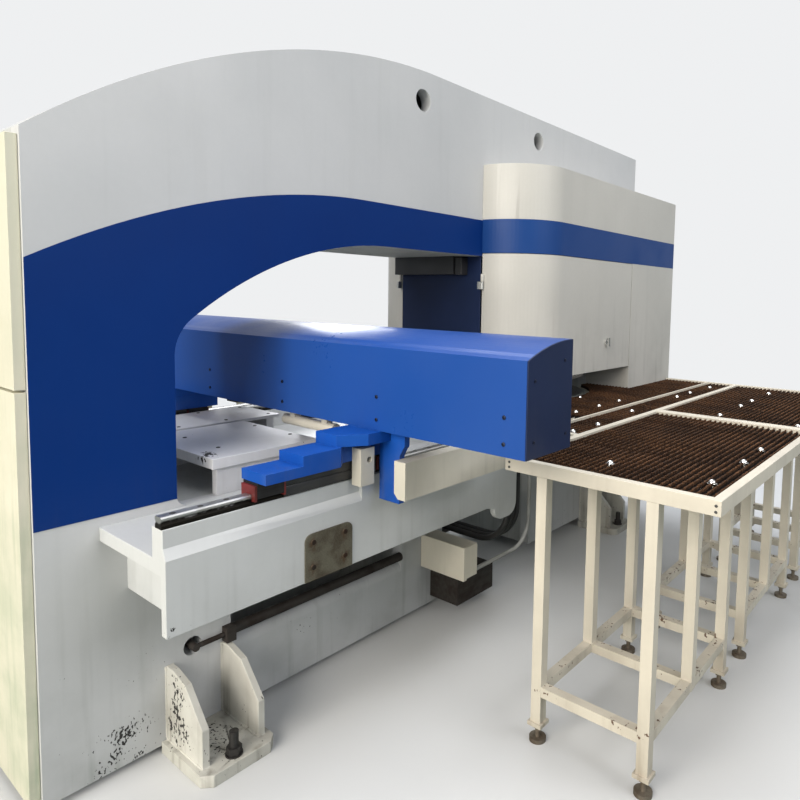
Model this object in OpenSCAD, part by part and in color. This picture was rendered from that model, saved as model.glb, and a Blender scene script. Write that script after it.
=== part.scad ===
// Turret punch press with an O-shaped frame, a cross beam that carries the sheet
// clamps, a twin tool turret in side housings and brush tables on both sides.
// Lengths are in millimetres. X runs across the frame and Z up from the floor.
// Y is measured along the frame from its cabinet end, and row() then centres the
// finished machine on the origin. "Reach" is a distance out from a frame face.

/* [Frame] */
// Length of the frame plates
frame_length = 3915; // [3880:5:3960]
// Distance over both frame plates
frame_width = 580; // [560:2:620]
// Thickness of one frame plate
plate_t = 60; // [50:1:70]
// Thickness of the plates welded between them
core_t = 30; // [20:1:36]
// Height of the flat top
frame_top = 2604; // [2590:2:2680]
// Radius of the curve that falls to the cabinet end
top_radius = 2740; // [2640:10:2900]
// Where that curve leaves the flat top
top_tangent = 1700; // [1600:10:1760]
// Clearance under the cabinet leg
floor_gap = 25; // [15:1:40]
// Clearance under the turret leg
rear_gap = 60; // [40:1:80]
// Radius of the two lifting holes
lift_hole_r = 50; // [40:1:60]

/* [Throat window] */
// Front edge of the window
window_front = 418; // [400:2:440]
// Back edge of the window
window_back = 3250; // [3240:2:3300]
// Sill height of the window
window_sill = 836; // [826:2:846]
// Head height of the window
window_head = 1781; // [1760:1:1790]
// Radius of the long head curve
window_radius = 1450; // [1400:10:1500]
// Where the head curve starts to fall
window_tangent = 1370; // [1340:5:1400]
// Radius that blends the head curve into the front edge
window_fillet = 160; // [120:5:200]
// Radius of the other window corners
window_corner = 40; // [30:2:60]
// Thickness of the plate that lines the window
lining_t = 40; // [30:1:50]
// Front edge of the short throat cover
short_cover_y = 552; // [545:1:560]
// Length of the short throat cover
short_cover_len = 460; // [440:5:470]
// Front edge of the long throat cover
long_cover_y = 705; // [700:1:710]
// Length of the long throat cover
long_cover_len = 522; // [510:2:530]
// Lower edge of the panel in front of the housings
panel_foot = 1145; // [1135:1:1160]

/* [Leg openings] */
// Front end of the long slot in the cabinet leg
slot_front = 610; // [600:5:640]
// Back end of that slot
slot_back = 1490; // [1400:5:1500]
// Lower edge of the slot
slot_foot = 300; // [280:2:310]
// Upper edge of the slot
slot_head = 520; // [500:2:540]
// Radius on the outer edge under the slot
slot_lip_r = 48; // [30:1:48]
// Front side of the arch between the legs
arch_front = 1784; // [1770:2:1800]
// Back side of the arch
arch_back = 2590; // [2560:2:2620]
// Height of the arch
arch_head = 700; // [680:2:720]
// Corner radius of the arch
arch_corner = 60; // [30:5:90]
// Radius of the rod hole ahead of the slot
rod_hole_r = 33; // [28:1:38]

/* [Blue band] */
// Thickness of the coloured skin on the frame
band_t = 2; // [1:0.5:3]
// Lower edge of the band
band_foot = 868; // [850:2:890]
// Highest point of the band
band_head = 1968; // [1950:2:1990]
// Radius of the band's upper edge
band_radius = 2640; // [2500:20:2800]
// Where the upper edge starts to fall
band_tangent = 1250; // [1200:10:1300]

/* [Side beds] */
// Front end of each bed
bed_front = 174; // [150:2:190]
// Back end of each bed
bed_back = 1832; // [1800:2:1860]
// Reach of the bed shelf
bed_reach = 392; // [388:1:396]
// Thickness of the shelf
shelf_t = 42; // [34:1:50]
// Thickness of the outer side plate
bed_side_t = 28; // [22:1:32]
// Lower edge of the outer side plate
bed_foot = 625; // [600:5:650]
// Lower edge of the deep end of that plate
bed_deep_foot = 550; // [540:5:590]
// Where the deep end starts
bed_deep_front = 1662; // [1640:2:1700]
// Thickness of the webs under the shelf
web_t = 20; // [14:1:26]
// Height of the rail seat
bed_top = 925; // [915:1:935]
// Inner side of the rail seat
seat_in = 345; // [335:1:350]
// Outer side of the rail seat
seat_out = 405; // [400:1:410]
// Where the slanted shoulder turns into a full wall
shoulder_end = 868; // [850:2:900]

/* [Y guides] */
// Width of a guide rail
rail_w = 36; // [30:1:40]
// Height of a guide rail
rail_h = 34; // [30:1:38]
// Height of the carriage underside above the rail seat
guide_stack = 70; // [64:1:76]
// Length of one bearing block
block_len = 110; // [90:5:130]
// Width of a Y bearing block
block_w = 76; // [66:1:84]
// Running gap between a rail and its block
rail_gap = 0.3; // [0.2:0.05:0.5]

/* [Cross beam] */
// Height of the saddle stack
saddle_h = 105; // [99:1:111]
// Front face of the beam cover
beam_front = 880; // [870:2:890]
// Depth of the beam cover
beam_depth = 250; // [240:2:260]
// Height of the front face of the cover
beam_face_h = 290; // [280:2:300]
// Radius of the crowned top of the cover
crown_r = 616; // [560:4:700]
// Half length of the cover
beam_half = 1391; // [1340:5:1400]
// Thickness of the cover sheet
cover_t = 3; // [2:0.5:4]
// Wall of the beam tube
beam_wall = 14; // [10:1:18]
// Depth of the beam tube
tube_depth = 189; // [180:1:196]
// Height of the beam tube
tube_h = 270; // [250:2:276]

/* [Sheet carriage] */
// Thickness of the sheet carriage
carriage_t = 22; // [18:1:28]
// Distance between neighbouring clamps
clamp_pitch = 600; // [500:20:600]
// Distance the clamps reach past the carriage
clamp_reach = 229; // [200:2:236]
// Clear height of an open clamp mouth
mouth_h = 13; // [10:1:16]
// Diameter of the ball screws
screw_d = 32; // [28:1:36]

/* [Turret] */
// Distance of the turret axis from the cabinet end
turret_y = 2700; // [2690:2:2720]
// Radius of the turret discs
turret_r = 500; // [480:2:510]
// Radius of the circle of tools
tool_circle = 400; // [380:2:410]
// Number of tool stations
tool_count = 20; // [12:2:24]
// Radius of a punch guide
tool_r = 30; // [24:1:34]
// Lower face of the lower disc
die_disc_foot = 880; // [874:1:886]
// Upper face of the lower disc
die_disc_top = 985; // [975:1:988]
// Lower face of the upper disc
punch_disc_foot = 1090; // [1080:2:1110]
// Thickness of the upper disc
punch_disc_t = 150; // [130:2:160]
// Radius of the turret spindles
spindle_r = 60; // [50:1:70]
// Stroke of the ram
ram_stroke = 38; // [30:1:40]

/* [Housings] */
// Front of the side housings
housing_front = 2070; // [2050:2:2074]
// Reach of the side housings
housing_reach = 311; // [300:1:316]
// Top of the hoods
hood_top = 2255; // [2240:2:2270]
// Lower edge of the hoods
hood_foot = 1972; // [1950:2:1990]
// Lower edge of the blue housing bands
band_low = 1797; // [1793:1:1810]
// Lower edge of the housing doors
door_foot = 1136; // [1134:1:1160]
// Back edge of the housing doors
door_back = 3247; // [3200:2:3250]
// Sheet thickness of the housings
housing_t = 4; // [3:0.5:5]
// Lower edge of the column panels
column_foot = 855; // [840:5:880]
// Distance the housings run past the frame
hood_overrun = 25; // [10:1:40]

/* [Cabinet] */
// Height of the gap between the two cabinet doors
door_seam = 1277; // [1250:2:1300]
// Top of the upper cabinet door
cabinet_top = 1990; // [1970:2:2000]
// Depth of the cabinet doors
cabinet_door_d = 29; // [24:1:34]
// Plate edge left free beside the doors
cabinet_margin = 12; // [8:1:16]

/* [Tables] */
// Height of the table surface
table_top = 1002; // [996:1:1003]
// Depth of the table aprons
apron_h = 47; // [40:1:56]
// Reach of the inner edge of the side tables
table_in = 797; // [790:1:810]
// Reach of the outer edge of the side tables
table_out = 1553; // [1500:5:1600]
// Front edge of the side tables
table_front = 1206; // [1190:2:1230]
// Joint between the front and back tables
table_split = 2520; // [2480:5:2560]
// Back edge of the tables
table_back = 3900; // [3880:5:3930]
// Width of the square table legs
leg_w = 40; // [34:1:46]
// Distance between neighbouring leg rows of a stand
leg_pitch = 373; // [360:1:385]
// Free length between neighbouring stands
stand_gap = 243; // [230:1:250]
// Distance of the outer legs from the outer edge
leg_inset = 184; // [160:2:220]
// Distance between the outer and inner legs
leg_span = 398; // [360:2:420]
// Height of the lower rails
low_rail_z = 173; // [160:2:190]
// Distance between brush rows
brush_pitch = 24; // [20:1:30]
// Width of one brush row
brush_w = 8; // [6:0.5:10]
// Height of the bristles
brush_h = 22; // [18:1:24]
// Radius of a transfer ball
ball_r = 12; // [10:0.5:14]

/* [Foot brackets] */
// Reach of a foot bracket
foot_reach = 283; // [260:1:300]
// Width of a foot bracket
foot_w = 266; // [240:2:280]
// Thickness of the foot plate
foot_t = 40; // [30:1:50]
// Height of the gussets
gusset_h = 260; // [230:2:280]
// Thickness of a gusset
gusset_t = 24; // [18:1:28]
// Front edge of the near brackets
near_foot_y = 350; // [330:2:360]
// Front edge of the far brackets
far_foot_y = 3204; // [3180:2:3240]
// Diameter of the anchor studs
stud_d = 30; // [24:1:36]

/* [Hidden] */
$fn = 48;
clearance = 0.3;
spigot = 15;
bearing_gap = 0.05;
half = frame_width / 2;
core_half = half - plate_t;
drive_end = frame_length + hood_overrun;
knob_out = 40;
cabinet_end = -(cabinet_door_d + 1) - knob_out;
y_mid = (cabinet_end + drive_end) / 2;

top_axis = [top_tangent, frame_top - top_radius];
lift_holes = [[1606, frame_top - 134], [2589, frame_top - 128]];
head_axis = [window_tangent, window_head - window_radius];
fillet_run = window_tangent - window_front - window_fillet;
fillet_rise = sqrt(pow(window_radius - window_fillet, 2) - pow(fillet_run, 2));
fillet_axis = head_axis + [-fillet_run, fillet_rise];
fillet_angle = atan2(fillet_rise, -fillet_run);
band_axis = [band_tangent, band_head - band_radius];
rod_hole = [465, slot_foot + 30];
bulkhead_y = window_front - lining_t - core_t - 8;

bed_out = bed_reach + bed_side_t;
rail_mid = (seat_in + seat_out) / 2 + 8;
rail_top = bed_top + rail_h;
saddle_z = bed_top + guide_stack;
step_z = saddle_z + 33;
head_z = step_z + 32;
beam_z = saddle_z + saddle_h;
near_block = 445;
far_block = 940;
saddle_front = near_block + 10;
saddle_back = far_block + block_len + 40;
stop_front = 820;

beam_back = beam_front + beam_depth;
tube_front = beam_front + cover_t;
tube_back = tube_front + tube_depth;
crown_drop = crown_r - sqrt(pow(crown_r, 2) - pow(beam_depth, 2));
crown_z = beam_z + beam_face_h + crown_drop;
tube_half = beam_half - 5;
x_rail_w = 34;
x_rail_h = 30;
x_rail_z = [beam_z + 50, beam_z + 220];
x_screw_y = tube_back + 32;
x_screw_z = (x_rail_z[0] + x_rail_z[1]) / 2;
plate_front = tube_back + 59;
plate_back = plate_front + carriage_t;
plate_z = [beam_z + 22, beam_z + 248];
clamp_z = table_top + 5;
lower_jaw_t = 12;
mouth_z = clamp_z + lower_jaw_t;
clamp_front = plate_back;
clamp_tip = plate_back + clamp_reach;
clamp_top = beam_z + 28;
pivot_y = clamp_front + 98;
pivot_z = mouth_z + 55;
clamp_half = 45;
carriage_len = 2 * (clamp_pitch + clamp_half) + 10;
cheek_t = 12;

y_screw_reach = bed_out + 56;
y_screw_z = bed_top + 15;
y_screw_front = bed_front + 24;

axis_y = turret_y;
punch_y = turret_y - tool_circle;
manifold_x = 200;
hose_reach = 350;
hose_bend = 180;
hose_low = 360;
hose_r = 14;
box_back = 1733;
conduit_reach = 252;
conduit_low = 255;
conduit_top = 720;
conduit_y = 2200;
conduit_bend = 140;
conduit_r = 10.5;
arm_y = 925;
duct_reach = 547;
punch_disc_top = punch_disc_foot + punch_disc_t;
tool_head_top = punch_disc_top + 50;
ram_rest = tool_head_top + ram_stroke + 2;
ram_r = 45;

housing_out = half + housing_reach;
hinge_x = half + 14;
hinge_y = housing_front - 12;
cabinet_hinge_x = half - cabinet_margin + 8;
cabinet_hinge_y = -12;
hinge_heights = [door_foot + 110, band_low - 150];
cabinet_hinge_heights = [floor_gap + 180, door_seam - 200, door_seam + 120, cabinet_top - 160];
lock_at = [2919, 1307];
switch_at = [117, 1467];
latch_at = [20, 302, 1700];

table_deck = table_top - brush_h - 4;
deck_t = 4;
apron_t = 30;
apron_foot = table_top - apron_h;
leg_reaches = [table_out - leg_inset - leg_span - leg_w, table_out - leg_inset - leg_w];
near_rows = [for (i = [0:2]) table_front + i * leg_pitch];
mid_rows = [for (i = [0:2]) near_rows[2] + leg_w + stand_gap + i * leg_pitch];
far_front = mid_rows[2] + leg_w + stand_gap;
far_rows = [far_front, (far_front + table_back - leg_w) / 2, table_back - leg_w];
stands = [near_rows, mid_rows, far_rows];
turret_cut_r = turret_r + 40;
column_reach = housing_reach + 9;
foot_stack = 60;
notch_reach = 620;
notch_y = 2130;
centre_front = 1700;
side_balls = [[307, 204], [661, 206], [663, 547], [658, 793], [294, 1450],
    [662, 1417], [289, 1825], [284, 2062], [282, 2447], [660, 2300]];
centre_balls = [[745, 2005], [740, 1786], [514, 2211], [513, 2462], [285, 2660],
    [515, 2700], [711, 2444], [700, 3095], [697, 3321], [711, 3654]];

blue = [0.10, 0.25, 0.62];
navy = [0.07, 0.13, 0.35];
white = [0.88, 0.89, 0.88];
cream = [0.90, 0.88, 0.80];
steel = [0.62, 0.63, 0.64];
dark = [0.10, 0.10, 0.11];
red = [0.60, 0.12, 0.10];

// Points on an arc around c, from angle a0 to a1
function arc(c, r, a0, a1, n = 8) =
    [for (i = [0:n]) let (a = a0 + (a1 - a0) * i / n) c + r * [cos(a), sin(a)]];

// Outline of the frame in Y and Z, moved inwards by g
function frame_outline(g) = concat(
    [[g, floor_gap + g], [arch_front - g, floor_gap + g]],
    arc([arch_front + arch_corner, arch_head - arch_corner], arch_corner + g, 180, 90),
    arc([arch_back - arch_corner, arch_head - arch_corner], arch_corner + g, 90, 0),
    [[arch_back + g, rear_gap + g], [frame_length - g, rear_gap + g]],
    [[frame_length - g, frame_top - g]],
    arc(top_axis, top_radius - g, 90, acos((g - top_tangent) / (top_radius - g)), 32));

// Outline of the throat window in Y and Z, moved outwards by g
function window_outline(g) = concat(
    arc([window_front, window_sill] + [1, 1] * window_corner, window_corner + g, 180, 270, 6),
    arc([window_back, window_sill] + [-1, 1] * window_corner, window_corner + g, 270, 360, 6),
    arc([window_back, window_head] + [-1, -1] * window_corner, window_corner + g, 0, 90, 6),
    arc(head_axis, window_radius + g, 90, fillet_angle, 24),
    arc(fillet_axis, window_fillet + g, fillet_angle, 180, 10));

// Corner of the housing plan in X and Y, inset by g
function housing_arc(g) =
    arc([half, housing_front + housing_reach], housing_reach - g, 0, -90, 24);

// Plan of the housing in X and Y, inset by g and ending at y1
function housing_plan(g, y1) = concat([[half, y1], [housing_out - g, y1]], housing_arc(g));

// Crown of the beam cover in Y and Z from its front edge to its back, inset by g
function crown_arc(g) = arc([beam_back, crown_z - crown_r], crown_r - g,
    acos((g - beam_depth) / (crown_r - g)), acos(-g / (crown_r - g)), 12);

// Plan of one saddle plate that starts at y0 and narrows to x1 behind the stop
function saddle_plan(y0, x1) = [[332, y0], [460, y0], [460, 740], [x1, 780],
    [x1, saddle_back], [332, saddle_back]];

function reverse(list) = [for (i = [len(list) - 1:-1:0]) list[i]];

module row() {
    translate([0, -y_mid, 0]) children();
}

module both_sides() {
    children();
    mirror([1, 0, 0]) children();
}

module left_side() {
    mirror([1, 0, 0]) children();
}

// Extrudes a profile drawn in Y and Z between two X positions
module along_x(x0, x1) {
    translate([x0, 0, 0]) rotate([90, 0, 90]) linear_extrude(x1 - x0) children();
}

// Extrudes a profile drawn in X and Z between two Y positions
module along_y(y0, y1) {
    translate([0, y1, 0]) rotate([90, 0, 0]) linear_extrude(y1 - y0) children();
}

module box_at(x, y, z) {
    translate([x[0], y[0], z[0]]) cube([x[1] - x[0], y[1] - y[0], z[1] - z[0]]);
}

module rod_x(x0, x1, y, z, r) {
    translate([x0, y, z]) rotate([0, 90, 0]) cylinder(h = x1 - x0, r = r);
}

module rod_y(x, y0, y1, z, r) {
    translate([x, y0, z]) rotate([-90, 0, 0]) cylinder(h = y1 - y0, r = r);
}

module rod_z(x, y, z0, z1, r) {
    translate([x, y, z0]) cylinder(h = z1 - z0, r = r);
}

// Frame plates

module frame_plate() {
    slot_mid = (slot_foot + slot_head) / 2;
    lip_x = half - slot_lip_r;
    lip_z = slot_foot - slot_lip_r;
    row() difference() {
        union() {
            difference() {
                along_x(core_half, half) difference() {
                    polygon(frame_outline(0));
                    polygon(window_outline(0));
                    translate([slot_front, slot_foot])
                        square([slot_back - slot_front, slot_head - slot_foot]);
                }
                box_at([lip_x, half + 1], [slot_front, slot_back], [lip_z, slot_foot + 1]);
            }
            intersection() {
                rod_y(lip_x, slot_front, slot_back, lip_z, slot_lip_r);
                box_at([lip_x, half], [slot_front, slot_back], [lip_z, slot_foot]);
            }
        }
        for (h = lift_holes) rod_x(core_half - 1, half + 1, h[0], h[1], lift_hole_r);
        rod_x(core_half - 1, half + 1, rod_hole[0], rod_hole[1], rod_hole_r);
    }
}

module frame_plate_right() {
    color(white) frame_plate();
}

module frame_plate_left() {
    color(white) left_side() frame_plate();
}

// A stiffener drawn as a strip in Y and Z
module rib(y, z0, z1) {
    translate([y, z0]) square([core_t, z1 - z0]);
}

module frame_core() {
    door_half = core_half - 40;
    color(white) row() difference() {
        along_x(-core_half, core_half) {
            difference() {
                polygon(frame_outline(0));
                polygon(frame_outline(core_t));
            }
            difference() {
                polygon(window_outline(lining_t));
                polygon(window_outline(0));
            }
            intersection() {
                polygon(frame_outline(0));
                difference() {
                    union() {
                        rib(bulkhead_y, 0, frame_top);
                        for (y = [1200, 1950, 3050]) rib(y, window_head + 1, frame_top);
                        for (y = [slot_back + 60, window_back + 150]) rib(y, 0, window_sill);
                    }
                    polygon(window_outline(1));
                }
            }
        }
        for (z = [[floor_gap + 55, door_seam - 37], [door_seam + 37, cabinet_top - 50]])
            box_at([-door_half, door_half], [-1, core_t + 1], z);
        rod_z(0, axis_y, window_head - 1, window_head + lining_t + 1, spindle_r + 1);
        rod_z(0, axis_y, window_sill - lining_t - 1, window_sill + 1, spindle_r + 1);
        rod_z(0, punch_y, window_head - 1, window_head + lining_t + 1, ram_r + 10);
    }
}

module side_band() {
    row() along_x(half, half + band_t) difference() {
        polygon(concat(
            [[0, band_foot], [housing_front, band_foot], [housing_front, band_head]],
            arc(band_axis, band_radius, 90, acos(-band_tangent / band_radius), 24)));
        polygon(window_outline(0));
    }
}

module side_bands() {
    color(blue) both_sides() side_band();
}

// Side beds and Y guides

module bed_profile(shoulder) {
    polygon([[seat_in, window_sill], [seat_in, bed_top], [seat_out, bed_top],
        [seat_out, bed_top - shoulder], [bed_out, bed_top - shoulder - 31],
        [bed_out, bed_foot], [bed_reach, bed_foot], [bed_reach, window_sill - shelf_t],
        [0, window_sill - shelf_t], [0, window_sill]]);
}

module side_bed() {
    deep_r = 60;
    row() translate([half, 0, 0]) {
        along_y(bed_front, shoulder_end) bed_profile(52);
        along_y(shoulder_end, bed_back) polygon([[seat_in, window_sill], [seat_in, bed_top],
            [bed_out, bed_top], [bed_out, bed_foot], [bed_reach, bed_foot],
            [bed_reach, window_sill - shelf_t], [0, window_sill - shelf_t], [0, window_sill]]);
        along_x(bed_reach, bed_out) polygon(concat(
            [[bed_deep_front - deep_r, bed_foot + 1]],
            arc([bed_deep_front + deep_r, bed_deep_foot + deep_r], deep_r, 180, 270, 6),
            arc([bed_back - deep_r, bed_deep_foot + deep_r], deep_r, 270, 360, 6),
            [[bed_back, bed_foot + 1]]));
        for (y = [bed_front + 80, 700, 1250, bed_back - 60])
            box_at([0, bed_reach], [y, y + web_t], [bed_foot - 11, window_sill - shelf_t]);
    }
}

module side_bed_right() {
    color(white) side_bed();
}

module side_bed_left() {
    color(white) left_side() side_bed();
}

// Section of a guide rail standing on its foot, with a waist for the balls
module rail_section(w, h) {
    waist = w * 0.16;
    polygon([[-w / 2, 0], [w / 2, 0], [w / 2, h * 0.3], [w / 2 - waist, h * 0.5],
        [w / 2, h * 0.72], [w / 2, h * 0.88], [w / 2 - h * 0.12, h], [h * 0.12 - w / 2, h],
        [-w / 2, h * 0.88], [-w / 2, h * 0.72], [waist - w / 2, h * 0.5], [-w / 2, h * 0.3]]);
}

// Section of a bearing block that straddles such a rail
module block_section(w, z0, z1, rw, rh) {
    difference() {
        polygon([[-w / 2, z0], [w / 2, z0], [w / 2, z1], [-w / 2, z1]]);
        translate([-rw / 2 - rail_gap, -1]) square([rw + 2 * rail_gap, rh + rail_gap + 1]);
    }
}

module guide_rails_y() {
    color(steel) both_sides() row() translate([half + rail_mid, 0, bed_top])
        along_y(bed_front, bed_back) rail_section(rail_w, rail_h);
}

module bearing_blocks_y() {
    color(steel) both_sides() row() translate([half + rail_mid, 0, bed_top])
        for (y = [near_block, far_block])
            along_y(y + 8, y + block_len - 8)
                block_section(block_w, 22, guide_stack, rail_w, rail_h);
}

module block_seals() {
    color(red) both_sides() row() translate([half + rail_mid, 0, bed_top])
        for (y = [near_block, near_block + block_len - 8, far_block, far_block + block_len - 8])
            along_y(y, y + 8) block_section(block_w - 4, 14, guide_stack - 8, rail_w, rail_h);
}

module access_pads() {
    pad = [slot_front + 14, slot_front + 210];
    pad_top = bed_foot + 160;
    corner = 25;
    color(steel) both_sides() row() translate([half, 0, 0]) {
        along_x(bed_out, bed_out + 6) polygon(concat(
            [[pad[0], bed_foot + 2], [pad[1], bed_foot + 2]],
            arc([pad[1] - corner, pad_top - corner], corner, 0, 90, 5),
            arc([pad[0] + corner, pad_top - corner], corner, 90, 180, 5)));
        for (y = [pad[0] + 29, pad[1] - 35], z = [bed_foot + 48, pad_top - 28])
            rod_x(bed_out + 6, bed_out + 10, y, z, 9);
    }
}

// Foot brackets and anchor studs

module foot_plan() {
    cut = 30;
    polygon([[0, 0], [foot_reach - cut, 0], [foot_reach, cut], [foot_reach, foot_w - cut],
        [foot_reach - cut, foot_w], [0, foot_w]]);
}

module foot_bracket() {
    gusset = [[0, foot_t], [0, foot_t + gusset_h], [40, foot_t + gusset_h],
        [125, foot_t + gusset_h - 22], [foot_reach - 51, foot_t + gusset_h * 0.49],
        [foot_reach - 51, foot_t]];
    difference() {
        linear_extrude(foot_t) foot_plan();
        rod_z(foot_reach - 43, foot_w / 2 - 8, -1, foot_t + 1, stud_d / 2 + 2);
    }
    for (y = [20, foot_w - 20 - gusset_t]) along_y(y, y + gusset_t) polygon(gusset);
}

module at_feet() {
    both_sides() row() for (y = [near_foot_y, far_foot_y])
        translate([half, y, 0]) children();
}

module foot_brackets() {
    color(white) at_feet() foot_bracket();
}

module anchor_studs() {
    color(dark) at_feet() translate([foot_reach - 43, foot_w / 2 - 8, 0]) {
        rod_z(0, 0, 3, foot_t + 81, stud_d / 2);
        translate([0, 0, foot_t]) cylinder(h = 5, r = stud_d * 0.95);
        translate([0, 0, foot_t + 5]) cylinder(h = stud_d * 0.8, r = stud_d * 0.85, $fn = 6);
    }
}

// Cabinet end

module cabinet_backplate() {
    color(steel) row() {
        box_at([-core_half + 20, core_half - 20], [bulkhead_y - 5, bulkhead_y],
            [floor_gap + 90, cabinet_top - 130]);
        for (z = [260, 620, 980, 1360, 1700])
            box_at([-150, 150], [bulkhead_y - 60, bulkhead_y - 5], [z, z + 120]);
    }
}

// A tray-shaped door standing proud of the frame end, with its hinge knuckles
module cabinet_door(z0, z1) {
    wide = half - cabinet_margin;
    sheet = 3;
    row() {
        difference() {
            box_at([-wide, wide], [-cabinet_door_d - 1, -1], [z0, z1]);
            box_at([sheet - wide, wide - sheet], [sheet - cabinet_door_d - 1, 1],
                [z0 + sheet, z1 - sheet]);
        }
        for (z = cabinet_hinge_heights) if (z > z0 && z < z1) cabinet_knuckle(z);
    }
}

// Knuckle on the door, bored for the pin that stands on the frame leaf
module cabinet_knuckle(z) {
    difference() {
        union() {
            rod_z(-cabinet_hinge_x, cabinet_hinge_y, z, z + 40, 7);
            box_at([-cabinet_hinge_x, cabinet_margin - half], [-19, -9], [z, z + 40]);
        }
        rod_z(-cabinet_hinge_x, cabinet_hinge_y, z - 1, z + 41, 4 + bearing_gap);
    }
}

module cabinet_door_upper() {
    color(cream) difference() {
        cabinet_door(door_seam + 4, cabinet_top);
        row() rod_y(switch_at[0], -40, 10, switch_at[1], 8);
        row() rod_y(latch_at[0], -40, 10, latch_at[2], 8);
    }
}

module cabinet_door_lower() {
    color(cream) difference() {
        cabinet_door(floor_gap + 15, door_seam - 4);
        row() rod_y(latch_at[0], -40, 10, latch_at[1], 8);
    }
}

// A turning handle through a cabinet door: spindle, rose and grip
module turn_handle(x, z, r, grip) {
    face = -cabinet_door_d - 1;
    rod_y(x, face - 6, face + 24, z, 8 - bearing_gap);
    rod_y(x, face - 6, face - clearance, z, r);
    box_at([x - grip[0] / 2, x + grip[0] / 2], [face - grip[2], face - 5],
        [z - grip[1] / 2, z + grip[1] / 2]);
    box_at([x - 7, x + 7], [face + 5, face + 9], [z - 7, z + 45]);
}

module main_switch() {
    color(dark) row() turn_handle(switch_at[0], switch_at[1], 24, [14, 40, knob_out]);
}

module latch_upper() {
    color(dark) row() turn_handle(latch_at[0], latch_at[2], 13, [12, 70, 16]);
}

module latch_lower() {
    color(dark) row() turn_handle(latch_at[0], latch_at[1], 13, [12, 70, 16]);
}

// Housings over the turret

module housing_skin(y1, z0, z1) {
    translate([0, 0, z0]) linear_extrude(z1 - z0) difference() {
        polygon(housing_plan(0, y1));
        polygon(concat([[half - 1, housing_front + housing_t], [half - 1, y1 + 1]],
            [[housing_out - housing_t, y1 + 1]], housing_arc(housing_t)));
    }
}

module hood() {
    row() {
        housing_skin(drive_end, hood_foot, hood_top);
        translate([0, 0, hood_top - housing_t]) linear_extrude(housing_t)
            polygon(housing_plan(0, drive_end));
        box_at([half, housing_out], [drive_end - housing_t, drive_end], [hood_foot, hood_top]);
    }
}

module hoods() {
    color(white) both_sides() hood();
}

module housing_bands() {
    color(blue) both_sides() row() {
        housing_skin(drive_end, band_low, hood_foot);
        box_at([half, housing_out], [drive_end - housing_t, drive_end], [band_low, hood_foot]);
    }
}

module column_panels() {
    y0 = door_back + 6;
    z = [column_foot, band_low];
    color(white) both_sides() row() {
        box_at([housing_out - housing_t, housing_out], [y0, drive_end], z);
        box_at([half, housing_out], [y0, y0 + housing_t], z);
        box_at([half, housing_out], [drive_end - housing_t, drive_end], z);
    }
}

// Door around the housing corner, with stiffening returns and hinge knuckles
module housing_door() {
    z0 = door_foot;
    z1 = band_low - 3;
    row() difference() {
        union() {
            intersection() {
                union() {
                    housing_skin(door_back, z0, z1);
                    for (z = [z0, z1 - housing_t]) translate([0, 0, z])
                        linear_extrude(housing_t) difference() {
                            polygon(housing_plan(0, door_back));
                            polygon(concat([[half - 1, housing_front + 24]],
                                [[half - 1, door_back + 1], [housing_out - 24, door_back + 1]],
                                housing_arc(24)));
                        }
                    box_at([housing_out - 24, housing_out], [door_back - housing_t, door_back],
                        [z0, z1]);
                }
                box_at([half + 4, housing_out + 1], [housing_front - 1, door_back + 1], [z0, z1]);
            }
            for (z = hinge_heights) {
                rod_z(hinge_x, hinge_y, z, z + 40, 8);
                box_at([hinge_x - 8, hinge_x + 8], [hinge_y, housing_front + 1], [z, z + 40]);
            }
        }
        for (z = hinge_heights) rod_z(hinge_x, hinge_y, z - 1, z + 41, 4 + bearing_gap);
        rod_x(housing_out - 30, housing_out + 1, lock_at[0], lock_at[1], 9);
    }
}

module housing_door_right() {
    color(white) housing_door();
}

module housing_door_left() {
    color(white) left_side() housing_door();
}

// Quarter-turn lock: barrel through the door, grip outside and cam inside
module door_lock() {
    row() {
        rod_x(housing_out - 16, housing_out + 8, lock_at[0], lock_at[1], 9 - bearing_gap);
        rod_x(housing_out + clearance, housing_out + 8, lock_at[0], lock_at[1], 22);
        box_at([housing_out + 7, housing_out + 24], [lock_at[0] - 7, lock_at[0] + 7],
            [lock_at[1] - 26, lock_at[1] + 26]);
        box_at([housing_out - 16, housing_out - 10], [lock_at[0] - 8, lock_at[0] + 45],
            [lock_at[1] - 8, lock_at[1] + 8]);
    }
}

module door_lock_right() {
    color(dark) door_lock();
}

module door_lock_left() {
    color(dark) left_side() door_lock();
}

// Fixed halves of all door hinges, each with its pin
module door_hinges() {
    color(steel) {
        both_sides() row() for (z = hinge_heights) {
            rod_z(hinge_x, hinge_y, z - 40, z - 1, 8);
            rod_z(hinge_x, hinge_y, z - 2, z + 38, 4);
            box_at([half + band_t, hinge_x], [hinge_y - 26, hinge_y], [z - 40, z - 1]);
        }
        row() for (z = cabinet_hinge_heights) {
            rod_z(-cabinet_hinge_x, cabinet_hinge_y, z - 40, z - 1, 7);
            rod_z(-cabinet_hinge_x, cabinet_hinge_y, z - 2, z + 38, 4);
            box_at([-half, cabinet_margin - half - 1], [cabinet_hinge_y, 0], [z - 40, z - 1]);
        }
    }
}

// Throat

module throat_panel() {
    color(navy) row()
        box_at([2 - half, half - 2], [housing_front - 6, housing_front],
            [panel_foot, window_head]);
}

module throat_block() {
    back = housing_front - 6;
    color(dark) row() {
        box_at([1 - half, 150], [back - 64, back], [window_head - 97, window_head]);
        box_at([155, 199], [back - 54, back], [window_head - 99, window_head - 8]);
    }
}

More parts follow.
